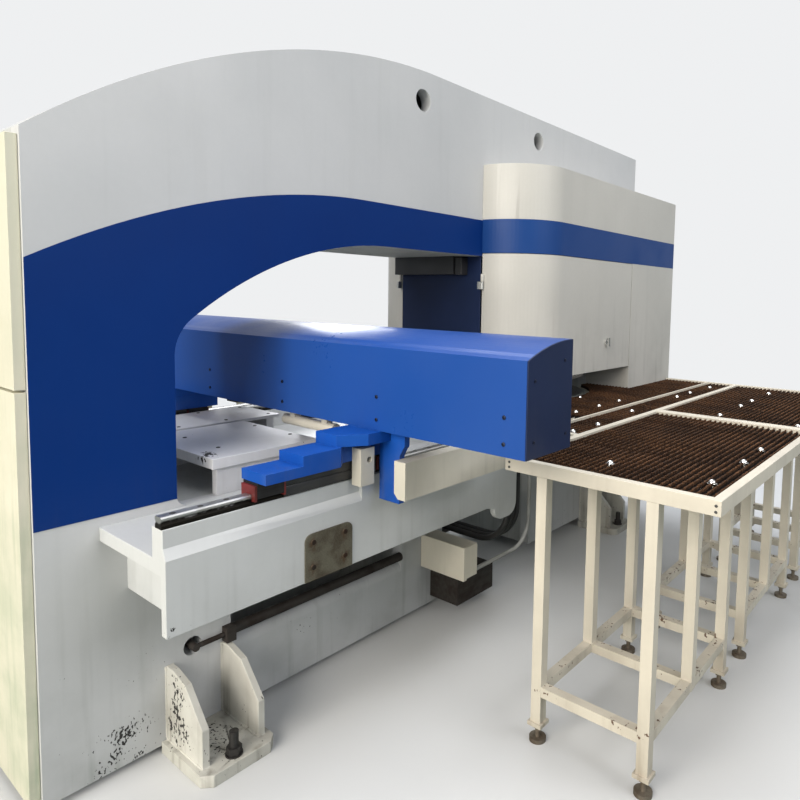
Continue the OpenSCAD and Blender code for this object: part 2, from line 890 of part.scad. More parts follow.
// Bolted cover plates on the sill and on the left bed, with the walls that carry them
module throat_covers() {
    cover_top = bed_top + 50;
    plate = 38;
    back = short_cover_y + short_cover_len;
    long_back = long_cover_y + long_cover_len;
    color(white) row() {
        box_at([27 - half, half - 8], [short_cover_y, back], [cover_top - plate, cover_top]);
        for (x = [[half - 55, half - 25], [25 - half, 55 - half]])
            box_at(x, [short_cover_y + 24, back - 22], [window_sill, cover_top - plate]);
        box_at([-half - 330, -half - 5], [long_cover_y, long_back], [cover_top - 14, cover_top]);
        for (y = [long_cover_y + 15, long_back - 57])
            box_at([-half - 310, -half - 30], [y, y + 40], [window_sill, cover_top - 14]);
    }
}

// Junction box, pipes and hoses

module junction_box() {
    color(cream) row() translate([half, 0, 0]) {
        box_at([0, 271], [1650, box_back], [239, 393]);
        box_at([0, 275], [1627, 1650], [235, 397]);
    }
}

module pipe_fittings() {
    reach = 14;
    block = [575, slot_front + 2];
    color(dark) {
        both_sides() row() {
            rod_x(core_half + 4, half + reach + 12, rod_hole[0], rod_hole[1], 13);
            rod_y(half + reach, rod_hole[0], block[0], rod_hole[1], 9);
            box_at([half, half + 34], block, [rod_hole[1] - 28, rod_hole[1] + 26]);
            rod_y(half - 8, block[1], slot_back, slot_foot + 26, 20);
        }
        row() {
            box_at([60, manifold_x], [arch_front, arch_front + 190], [300, 420]);
            box_at([half, half + 178], [arch_front - 84, arch_front + 201], [60, 190]);
            box_at([half + hose_reach - 50, half + hose_reach + 50],
                [bed_back, bed_back + 140], [bed_top - 10, bed_top]);
        }
    }
}

module box_conduit() {
    out = half + conduit_reach;
    turn_y = conduit_y - conduit_bend;
    turn_z = conduit_top - conduit_bend;
    $fn = 32;
    color(cream) row() {
        rod_y(out, box_back, turn_y, conduit_low, conduit_r);
        translate([out, turn_y, conduit_low + conduit_bend]) rotate([90, 0, 90])
            rotate_extrude(angle = -90) translate([conduit_bend, 0]) circle(conduit_r);
        rod_z(out, conduit_y, conduit_low + conduit_bend, turn_z, conduit_r);
        translate([out - conduit_bend, conduit_y, turn_z]) rotate([90, 0, 0])
            rotate_extrude(angle = 90) translate([conduit_bend, 0]) circle(conduit_r);
        rod_x(half, out - conduit_bend, conduit_y, conduit_top, conduit_r);
    }
}
module hoses() {
    drop = half + hose_reach;
    color(dark) row() for (y = [bed_back + 30 : 40 : bed_back + 110]) {
        rod_z(drop, y, hose_low + hose_bend, bed_top - 10, hose_r);
        translate([drop - hose_bend, y, hose_low + hose_bend]) rotate([90, 0, 0])
            rotate_extrude(angle = -90) translate([hose_bend, 0]) circle(hose_r);
        rod_x(manifold_x, drop - hose_bend, y, hose_low, hose_r);
    }
}

// Turret, its drives and the ram

module turret_drives() {
    head = window_head + lining_t;
    sill = window_sill - lining_t;
    color(steel) row() difference() {
        union() {
            rod_z(0, axis_y, window_head - 180, window_head, 130);
            rod_z(0, axis_y, window_sill, die_disc_foot - 4, 110);
            rod_z(0, axis_y, head, head + 30, 120);
            rod_z(0, axis_y, head + 30, head + 330, 90);
            rod_z(0, axis_y, sill - 30, sill, 120);
            rod_z(0, axis_y, sill - 280, sill - 30, 75);
        }
        rod_z(0, axis_y, sill - 24, head + 24, spindle_r + bearing_gap);
    }
}

module at_stations() {
    for (i = [0:tool_count - 1])
        translate([0, axis_y, 0]) rotate([0, 0, i * 360 / tool_count - 90])
            translate([tool_circle, 0, 0]) children();
}

// The disc, with the hub and spindle centred in it by a spigot
module turret_upper() {
    color(steel) row() {
        difference() {
            rod_z(0, axis_y, punch_disc_foot, punch_disc_top, turret_r);
            at_stations() rod_z(0, 0, punch_disc_foot - 1, punch_disc_top + 1,
                tool_r + clearance);
            rod_z(0, axis_y, punch_disc_top - spigot, punch_disc_top + 1, spindle_r + clearance);
        }
        rod_z(0, axis_y, punch_disc_top + clearance, punch_disc_top + 60, 200);
        rod_z(0, axis_y, punch_disc_top - spigot + clearance, window_head + lining_t + 22,
            spindle_r);
    }
}

module punch_tools() {
    color(dark) row() at_stations() {
        rod_z(0, 0, punch_disc_foot - 40, punch_disc_top, tool_r);
        rod_z(0, 0, punch_disc_foot - 55, punch_disc_foot - 40, tool_r - 8);
        rod_z(0, 0, punch_disc_top, punch_disc_top + 14, tool_r + 6);
        rod_z(0, 0, punch_disc_top + 14, tool_head_top, tool_r - 8);
    }
}

module turret_lower() {
    color(steel) row() {
        difference() {
            union() {
                rod_z(0, axis_y, die_disc_foot, die_disc_top, turret_r);
                at_stations() rod_z(0, 0, die_disc_top - 3, die_disc_top + 5, tool_r + 8);
            }
            at_stations() rod_z(0, 0, die_disc_foot - 1, die_disc_top + 6, tool_r * 0.6);
            rod_z(0, axis_y, die_disc_foot - 1, die_disc_foot + spigot, spindle_r + clearance);
        }
        rod_z(0, axis_y, window_sill - lining_t - 22, die_disc_foot + spigot - clearance,
            spindle_r);
    }
}

module ram_cylinder() {
    head = window_head + lining_t;
    color(steel) row() difference() {
        union() {
            rod_z(0, punch_y, window_head - 140, window_head, 95);
            rod_z(0, punch_y, head, head + 30, 130);
            rod_z(0, punch_y, head + 30, head + 420, 100);
        }
        rod_z(0, punch_y, window_head - 141, head + 380, ram_r + bearing_gap);
    }
}

module ram_striker() {
    color(steel) row() {
        rod_z(0, punch_y, ram_rest + 50, window_head + lining_t + 330, ram_r);
        rod_z(0, punch_y, ram_rest, ram_rest + 50, ram_r + 15);
    }
}

// Cross beam and its saddles

module saddle() {
    narrow = bed_out + 2;
    row() translate([half, 0, 0]) {
        translate([0, 0, saddle_z]) linear_extrude(step_z - saddle_z)
            polygon(saddle_plan(saddle_front, narrow));
        translate([0, 0, step_z]) linear_extrude(head_z - step_z)
            polygon(saddle_plan(saddle_front + 135, narrow));
        translate([0, 0, head_z]) linear_extrude(beam_z - head_z)
            polygon([[333, 735], [442, 735], [501, 823], [501, saddle_back],
                [333, saddle_back]]);
    }
}

module saddles() {
    nut_y = [960, 1040];
    color(blue) {
        both_sides() saddle();
        left_side() row() translate([half, 0, 0]) {
            box_at([y_screw_reach - 26, y_screw_reach + 24], [nut_y[0], nut_y[0] + 50],
                [y_screw_z + 34, head_z]);
            difference() {
                box_at([y_screw_reach - 35, y_screw_reach + 35], nut_y,
                    [y_screw_z - 35, y_screw_z + 35]);
                rod_y(y_screw_reach, nut_y[0] - 1, nut_y[1] + 1, y_screw_z,
                    screw_d / 2 + bearing_gap);
            }
        }
    }
}

module x_beam() {
    color(blue) row() along_x(-tube_half, tube_half) translate([tube_front, beam_z])
        difference() {
            square([tube_depth, tube_h]);
            translate([beam_wall, beam_wall])
                square([tube_depth - 2 * beam_wall, tube_h - 2 * beam_wall]);
        }
}

module beam_cover() {
    lip_z = crown_z - 60;
    color(blue) row() along_x(-tube_half, tube_half) polygon(concat(
        [[beam_front + cover_t, beam_z], [beam_front, beam_z]], crown_arc(0),
        [[beam_back, lip_z], [beam_back - cover_t, lip_z]], reverse(crown_arc(cover_t))));
}

module beam_end_caps() {
    color(navy) both_sides() row() along_x(tube_half, beam_half)
        polygon(concat([[beam_back, beam_z], [beam_front, beam_z]], crown_arc(0)));
}

module at_x_rails() {
    for (z = x_rail_z) translate([tube_back, z]) rotate(-90) children();
}

module x_rails() {
    color(steel) row() along_x(-tube_half + 20, tube_half - 20)
        at_x_rails() rail_section(x_rail_w, x_rail_h);
}

module x_drive() {
    post = [tube_half - 80, tube_half - 40];
    motor_post = [-tube_half + 150, -tube_half + 190];
    color(dark) row() {
        difference() {
            for (x = [post, motor_post])
                box_at(x, [tube_back, x_screw_y + 24], [x_screw_z - 32, x_screw_z + 32]);
            rod_x(-tube_half, tube_half, x_screw_y, x_screw_z, screw_d / 2 + bearing_gap);
        }
        rod_x(-tube_half + 14, motor_post[0], x_screw_y, x_screw_z, 27);
    }
}

module x_screw() {
    color(steel) row()
        rod_x(-tube_half + 154, tube_half - 44, x_screw_y, x_screw_z, screw_d / 2);
}

module x_carriage() {
    long = carriage_len / 2;
    color(steel) row() {
        difference() {
            box_at([-long, long], [plate_front, plate_back], plate_z);
            for (x = [-long / 2, long / 2])
                along_y(plate_front - 1, plate_back + 1) union() {
                    for (dx = [-90, 90]) translate([x + dx, x_screw_z]) circle(40);
                    translate([x - 90, x_screw_z - 40]) square([180, 80]);
                }
        }
        difference() {
            box_at([-70, 70], [tube_back + 2, plate_front], [x_screw_z - 30, x_screw_z + 30]);
            rod_x(-71, 71, x_screw_y, x_screw_z, screw_d / 2 + bearing_gap);
        }
        for (x = [-long + 60, -50, long - 160]) along_x(x, x + 100)
            at_x_rails() block_section(60, 12, plate_front - tube_back, x_rail_w, x_rail_h);
    }
}

// One sheet clamp around x = 0, without its upper jaw
module clamp_body() {
    difference() {
        union() {
            box_at([-clamp_half, clamp_half], [clamp_front, clamp_tip], [clamp_z, mouth_z]);
            box_at([-clamp_half, clamp_half], [clamp_front, clamp_front + 40],
                [clamp_z, clamp_top]);
            for (x = [-clamp_half, clamp_half - cheek_t]) along_x(x, x + cheek_t)
                polygon([[clamp_front, clamp_z], [pivot_y + 45, clamp_z],
                    [pivot_y + 45, pivot_z - 10], [pivot_y + 20, pivot_z + 22],
                    [pivot_y - 10, clamp_top], [clamp_front, clamp_top]]);
        }
        rod_x(-clamp_half - 1, clamp_half + 1, pivot_y, pivot_z, 8 + bearing_gap);
    }
}

module clamp_jaw(x) {
    inner = clamp_half - cheek_t - clearance;
    color(steel) row() translate([x, 0, 0]) {
        along_x(-inner, inner) polygon([[pivot_y - 30, mouth_z + mouth_h + 4],
            [pivot_y - 8, mouth_z + mouth_h], [clamp_tip, mouth_z + mouth_h],
            [clamp_tip, mouth_z + mouth_h + 12], [pivot_y + 60, mouth_z + mouth_h + 34],
            [pivot_y + 14, pivot_z + 14], [pivot_y - 14, pivot_z + 14],
            [pivot_y - 30, pivot_z]]);
        rod_x(-clamp_half, clamp_half, pivot_y, pivot_z, 8);
    }
}

module clamp_bodies() {
    color(steel) row() for (i = [-1:1]) translate([i * clamp_pitch, 0, 0]) clamp_body();
}

module clamp_jaw_1() {
    clamp_jaw(-clamp_pitch);
}

module clamp_jaw_2() {
    clamp_jaw(0);
}

module clamp_jaw_3() {
    clamp_jaw(clamp_pitch);
}

// Blue arm on the right end of the beam, beside the bed
module side_arm() {
    out = duct_reach;
    color(blue) row() translate([half, 0, 0]) along_y(arm_y, arm_y + 25) polygon(concat(
        [[448, 843], [out, 843], [out, 1010]],
        arc([out + 8, beam_z - 46], 16, -60, 0, 4), [[out + 24, beam_z]],
        [[503, beam_z], [503, head_z - 2], [448, head_z - 2]]));
}

// Pale duct beside the arm, stop block on the saddle and roller under the beam
module beam_fittings() {
    duct = [duct_reach, duct_reach + 53];
    duct_z = [bed_top - 55, table_top];
    color(cream) row() {
        translate([half, 0, 0]) along_y(arm_y - 25, 1500) polygon([[duct[0], duct_z[1]],
            [duct[0], duct_z[0] + 18], [duct[0] + 18, duct_z[0]], [duct[1], duct_z[0]],
            [duct[1], duct_z[1]]]);
        translate([half, 0, 0]) difference() {
            box_at([bed_out + 2, bed_out + 48], [stop_front, stop_front + 61],
                [bed_top - 14, step_z + 14]);
            rod_x(bed_out + 1, bed_out + 49, stop_front + 39, saddle_z + 5, 11);
        }
        rod_x(150, 470, 950, beam_z - 49, 21);
        for (x = [200, 400]) box_at([x, x + 30], [935, 965], [beam_z - 40, beam_z]);
    }
}

module y_drive() {
    posts = [[bed_front + 20, bed_front + 60], [bed_back - 70, bed_back - 10]];
    color(dark) left_side() row() translate([half, 0, 0]) {
        difference() {
            for (y = posts) {
                box_at([bed_out, y_screw_reach + 34], y, [bed_foot + 155, bed_top - 6]);
                box_at([bed_out + 6, y_screw_reach + 34], y, [bed_top - 7, y_screw_z + 34]);
            }
            rod_y(y_screw_reach, bed_front, bed_back, y_screw_z, screw_d / 2 + bearing_gap);
        }
        rod_y(y_screw_reach, posts[1][1], posts[1][1] + 118, y_screw_z, 45);
    }
}

module y_screw() {
    color(steel) left_side() row()
        rod_y(half + y_screw_reach, bed_front + 24, bed_back - 14, y_screw_z, screw_d / 2);
}

// Tables

module side_table(y0, y1, rows) {
    box_at([table_in + apron_t, table_out - apron_t], [y0 + apron_t, y1 - apron_t],
        [table_deck - deck_t, table_deck]);
    difference() {
        box_at([table_in, table_out], [y0, y1], [apron_foot, table_top]);
        box_at([table_in + apron_t, table_out - apron_t], [y0 + apron_t, y1 - apron_t],
            [apron_foot - 1, table_top + 1]);
    }
    for (y = rows)
        box_at([table_in + 1, table_out - 1], [y, y + leg_w], [apron_foot, table_deck - deck_t]);
}

// Three leg rows under the tables, the middle one ending at the low rails
module stand(rows) {
    rail_z = [low_rail_z, low_rail_z + leg_w - 4];
    head = apron_foot - clearance;
    for (x = leg_reaches) {
        for (y = [rows[0], rows[2]]) {
            box_at([x, x + leg_w], [y, y + leg_w], [foot_stack, head]);
            box_at([x - 8, x + leg_w + 8], [y - 8, y + leg_w + 8], [foot_stack, foot_stack + 14]);
        }
        box_at([x, x + leg_w], [rows[1], rows[1] + leg_w], [low_rail_z, head]);
        box_at([x + 2, x + leg_w - 2], [rows[0], rows[2] + leg_w], rail_z);
    }
    for (y = rows)
        box_at([leg_reaches[0], leg_reaches[1] + leg_w], [y + 2, y + leg_w - 2], rail_z);
}

module table_frames() {
    color(cream) both_sides() row() translate([half, 0, 0]) {
        side_table(table_front, table_split - 2, [near_rows[1], near_rows[2], mid_rows[0]]);
        side_table(table_split + 2, table_back,
            [mid_rows[1], mid_rows[2], far_rows[0], far_rows[1]]);
        for (rows = stands) stand(rows);
    }
}

function centre_plan() = [[8, notch_y], [notch_reach, notch_y], [notch_reach, centre_front],
    [table_in, centre_front], [table_in, table_back], [column_reach, table_back],
    [column_reach, door_back], [8, door_back]];

module centre_tables() {
    bar = 30;
    bar_z = [apron_foot, table_deck - deck_t];
    color(cream) both_sides() row() difference() {
        translate([half, 0, 0]) {
            translate([0, 0, table_deck - deck_t]) linear_extrude(deck_t)
                polygon(centre_plan());
            box_at([table_in - bar, table_in], [centre_front, table_back], bar_z);
            box_at([notch_reach, table_in], [centre_front, centre_front + bar],
                [apron_foot, table_top]);
            box_at([8, notch_reach + bar], [notch_y, notch_y + bar], bar_z);
            box_at([column_reach, table_in], [table_back - bar, table_back],
                [apron_foot, table_top]);
            box_at([column_reach, column_reach + bar], [door_back, table_back], bar_z);
            box_at([notch_reach, notch_reach + 10], [centre_front, table_back],
                [apron_foot, table_top]);
        }
        rod_z(0, axis_y, apron_foot - 1, table_top + 1, turret_cut_r);
    }
}

// One brush row along Y at reach x, standing on the table deck
module brush_row(x, y0, y1) {
    box_at([x - brush_w / 2, x + brush_w / 2], [y0, y1], [table_deck, table_deck + brush_h]);
}

module side_brushes() {
    x0 = table_in + apron_t + brush_pitch / 2;
    for (x = [x0:brush_pitch:table_out - apron_t - brush_w]) {
        brush_row(x, table_front + apron_t + 2, table_split - apron_t - 4);
        brush_row(x, table_split + apron_t + 4, table_back - apron_t - 2);
    }
}

module centre_brushes() {
    for (x = [26:brush_pitch:table_in - 14]) if (abs(x - notch_reach - 5) > 11) {
        y0 = x > notch_reach ? centre_front + 34 : notch_y + 4;
        y1 = x > column_reach ? table_back - 34 : door_back - 4;
        near_x = half + x - brush_w / 2;
        cut = near_x < turret_cut_r ? sqrt(pow(turret_cut_r, 2) - pow(near_x, 2)) + 4 : 0;
        if (cut == 0) brush_row(x, y0, y1);
        if (cut > 0) {
            if (axis_y - cut > y0 + 20) brush_row(x, y0, axis_y - cut);
            if (axis_y + cut < y1 - 20) brush_row(x, axis_y + cut, y1);
        }
    }
}

module at_balls() {
    for (b = side_balls) translate([table_in + b[0], table_front + b[1], 0]) children();
    for (b = centre_balls) translate([b[0], b[1], 0]) children();
}

module brush_rows() {
    color(dark) both_sides() row() translate([half, 0, 0]) difference() {
        union() {
            side_brushes();
            centre_brushes();
        }
        at_balls() rod_z(0, 0, table_deck - 1, table_top + 1, ball_r + 6);
    }
}

module ball_transfers() {
    color(steel) both_sides() row() translate([half, 0, 0]) at_balls() {
        rod_z(0, 0, table_deck, table_top - ball_r + 2, ball_r + 4);
        translate([0, 0, table_top + 2 - ball_r]) sphere(ball_r);
    }
}

module levelling_feet() {
    color(dark) both_sides() row() translate([half, 0, 0])
        for (x = leg_reaches, rows = stands, y = [rows[0], rows[2]])
            translate([x + leg_w / 2, y + leg_w / 2, 0]) {
                rod_z(0, 0, 0, 14, 30);
                rod_z(0, 0, 14, foot_stack, 9);
                translate([0, 0, foot_stack - 12]) cylinder(h = 12, r = 17, $fn = 6);
            }
}

frame_plate_right();
frame_plate_left();
frame_core();
side_bands();
side_bed_right();
side_bed_left();
foot_brackets();
anchor_studs();
guide_rails_y();
access_pads();
cabinet_backplate();
junction_box();
pipe_fittings();
box_conduit();
hoses();
hoods();
housing_bands();
column_panels();
door_hinges();
throat_panel();
throat_block();
throat_covers();
table_frames();
centre_tables();
brush_rows();
ball_transfers();
levelling_feet();
turret_drives();
ram_cylinder();
y_drive();
saddles();
bearing_blocks_y();
block_seals();
x_beam();
beam_cover();
beam_end_caps();
x_rails();
side_arm();
beam_fittings();
x_drive();
x_carriage();
clamp_bodies();
clamp_jaw_1();
clamp_jaw_2();
clamp_jaw_3();
x_screw();
y_screw();
turret_upper();
punch_tools();
turret_lower();
ram_striker();
housing_door_right();
housing_door_left();
door_lock_right();
door_lock_left();
cabinet_door_upper();
cabinet_door_lower();
main_switch();
latch_upper();
latch_lower();
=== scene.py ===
"""The look of a turret punch press: finishes, small parts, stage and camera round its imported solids."""

import logging  # noqa: E402
import math  # noqa: E402
import random  # noqa: E402
from abc import ABC, abstractmethod  # noqa: E402
from dataclasses import dataclass, field  # noqa: E402
from enum import Enum  # noqa: E402

import bmesh  # noqa: E402
import bpy  # noqa: E402
from mathutils import Matrix, Vector  # noqa: E402

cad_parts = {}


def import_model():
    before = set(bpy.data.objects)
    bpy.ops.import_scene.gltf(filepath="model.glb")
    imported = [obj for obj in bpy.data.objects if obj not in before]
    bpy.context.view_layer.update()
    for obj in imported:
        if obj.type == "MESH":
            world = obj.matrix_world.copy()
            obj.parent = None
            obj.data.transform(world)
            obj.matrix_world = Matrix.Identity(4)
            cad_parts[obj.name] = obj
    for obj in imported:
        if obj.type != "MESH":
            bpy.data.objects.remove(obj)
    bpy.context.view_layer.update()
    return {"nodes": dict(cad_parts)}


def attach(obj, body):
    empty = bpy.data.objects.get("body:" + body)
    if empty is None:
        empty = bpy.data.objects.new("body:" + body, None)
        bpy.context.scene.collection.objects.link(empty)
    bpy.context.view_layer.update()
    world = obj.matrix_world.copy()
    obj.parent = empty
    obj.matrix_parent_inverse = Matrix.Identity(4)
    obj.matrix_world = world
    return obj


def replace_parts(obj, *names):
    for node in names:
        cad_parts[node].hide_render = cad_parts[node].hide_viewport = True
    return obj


LOG = logging.getLogger("punch_press")
Triple = tuple[float, float, float]
Rows = tuple[tuple[float, ...], ...]
Node = bpy.types.Node
Socket = bpy.types.NodeSocket
Material = bpy.types.Material
Object = bpy.types.Object
# The millimetres in a metre, the frame's middle along Y and half its width, the pads' face and bolt rows
MM = 1000.0
FRAME_MIDDLE = 1935.0
FRAME_SIDE = 290.0
PAD_FACE = 720.0
PAD_ROWS = (653.0, 785.0)


class Body(Enum):
    """The bodies that new pieces ride on."""

    BASE = "base"
    Y_CARRIAGE = "y_carriage"


class Axis(Enum):
    """The direction that a turned part points in."""

    X = (1.0, 0.0, 0.0)
    Z = (0.0, 0.0, 1.0)
    MINUS_X = (-1.0, 0.0, 0.0)
    MINUS_Y = (0.0, -1.0, 0.0)


class Effect(Enum):
    """The shader groups that the finishes share."""

    TONE = "tone"
    PATCH = "patch"
    CHIPS = "chips"
    GRIME = "grime"
    GRAIN = "grain"


def row(x: float, y: float, z: float) -> Vector:
    """Turns millimetres, measured from the cabinet end of the frame, into the shared frame.

    Args:
        x: distance from the middle of the machine, in mm.
        y: distance from the cabinet end of the frame, in mm.
        z: height over the floor, in mm.

    Returns:
        The point in metres.
    """
    return Vector((x / MM, (y - FRAME_MIDDLE) / MM, z / MM))


def outward(side: int) -> Axis:
    """Returns the axis that points away from the machine on its right side, 1, or its left side, -1."""
    return Axis.X if side > 0 else Axis.MINUS_X


def rgba(colour: Triple) -> tuple[float, float, float, float]:
    """Returns the colour with full cover."""
    return (*colour, 1.0)


def even(size: float) -> Triple:
    """Returns one size for all three ways."""
    return (size, size, size)


class Tree:
    """A short way to add and feed the nodes of one shader tree."""

    def __init__(self, tree: bpy.types.NodeTree) -> None:
        """Keeps the tree."""
        self.tree = tree

    def feed(self, node: Node, inputs: dict) -> Node:
        """Fills inputs of a node.

        Args:
            node: the node.
            inputs: values or sockets by input name or number.

        Returns:
            The same node.
        """
        for key, item in inputs.items():
            if isinstance(item, Socket):
                self.tree.links.new(item, node.inputs[key])
            else:
                node.inputs[key].default_value = item
        return node

    def add(self, kind: str, inputs: dict | None = None, **settings: object) -> Node:
        """Adds a node.

        Args:
            kind: the node's type name.
            inputs: values or sockets by input name or number.
            settings: the node's own properties.

        Returns:
            The new node.
        """
        node = self.tree.nodes.new(kind)
        for key, value in settings.items():
            setattr(node, key, value)
        return self.feed(node, inputs or {})

    def noise(self, vector: Socket, scale: object, detail: float = 3.0) -> Socket:
        """Returns the value of a noise texture at that scale."""
        inputs = {"Vector": vector, "Scale": scale, "Detail": detail}
        return self.add("ShaderNodeTexNoise", inputs).outputs["Fac"]

    def scaled(self, vector: Socket, scale: object) -> Socket:
        """Returns the vector times a scale for each way."""
        return self.add("ShaderNodeMapping", {"Vector": vector, "Scale": scale}).outputs[0]

    def vector(self, how: str, first: object, second: object) -> Socket:
        """Returns the result of one operation on two vectors."""
        return self.add("ShaderNodeVectorMath", {0: first, 1: second}, operation=how).outputs[0]

    def length(self, vector: Socket) -> Socket:
        """Returns the length of a vector."""
        return self.add("ShaderNodeVectorMath", {0: vector}, operation="LENGTH").outputs["Value"]

    def height(self, place: Socket) -> Socket:
        """Returns the height of a position."""
        return self.add("ShaderNodeSeparateXYZ", {0: place}).outputs["Z"]

    def span(self, value: object, low: object, high: object, to_low: float = 0.0, to_high: float = 1.0,
             soft: bool = True) -> Socket:
        """Maps a value from low..high to to_low..to_high, clamped.

        Args:
            value: the socket to map.
            low: the value that gives to_low.
            high: the value that gives to_high.
            to_low: the first result.
            to_high: the last result.
            soft: True for a smooth step.

        Returns:
            The mapped socket.
        """
        ends = {"Value": value, "From Min": low, "From Max": high, "To Min": to_low, "To Max": to_high}
        step = "SMOOTHSTEP" if soft else "LINEAR"
        return self.add("ShaderNodeMapRange", ends, interpolation_type=step).outputs["Result"]

    def maths(self, how: str, first: object, second: object = 0.0, clamp: bool = False) -> Socket:
        """Returns the result of one operation on two values."""
        return self.add("ShaderNodeMath", {0: first, 1: second}, operation=how, use_clamp=clamp).outputs[0]

    def mix(self, share: object, first: object, second: object) -> Socket:
        """Returns a blend of two colours, from the node's factor and colour sockets."""
        return self.add("ShaderNodeMix", {0: share, 6: first, 7: second}, data_type="RGBA").outputs[2]

    def bump(self, height: Socket, strength: float, depth: float) -> Socket:
        """Returns a normal raised by a height, where a height of one stands for a depth in metres."""
        inputs = {"Height": height, "Strength": strength, "Distance": depth}
        return self.add("ShaderNodeBump", inputs).outputs[0]


def principled(name: str) -> tuple[Tree, Node, Socket, Material]:
    """Makes a material.

    Args:
        name: its name.

    Returns:
        The tree, the Principled node, the object's own position and the material.
    """
    material = bpy.data.materials.new(name)
    material.use_nodes = True
    tree = Tree(material.node_tree)
    shader = material.node_tree.nodes["Principled BSDF"]
    return tree, shader, tree.add("ShaderNodeTexCoord").outputs["Object"], material


def place_object(name: str, data: bpy.types.ID) -> Object:
    """Puts data into the scene.

    Args:
        name: the object's name.
        data: its mesh, curve, lamp or camera.

    Returns:
        The object.
    """
    made = bpy.data.objects.new(name, data)
    bpy.context.scene.collection.objects.link(made)
    return made


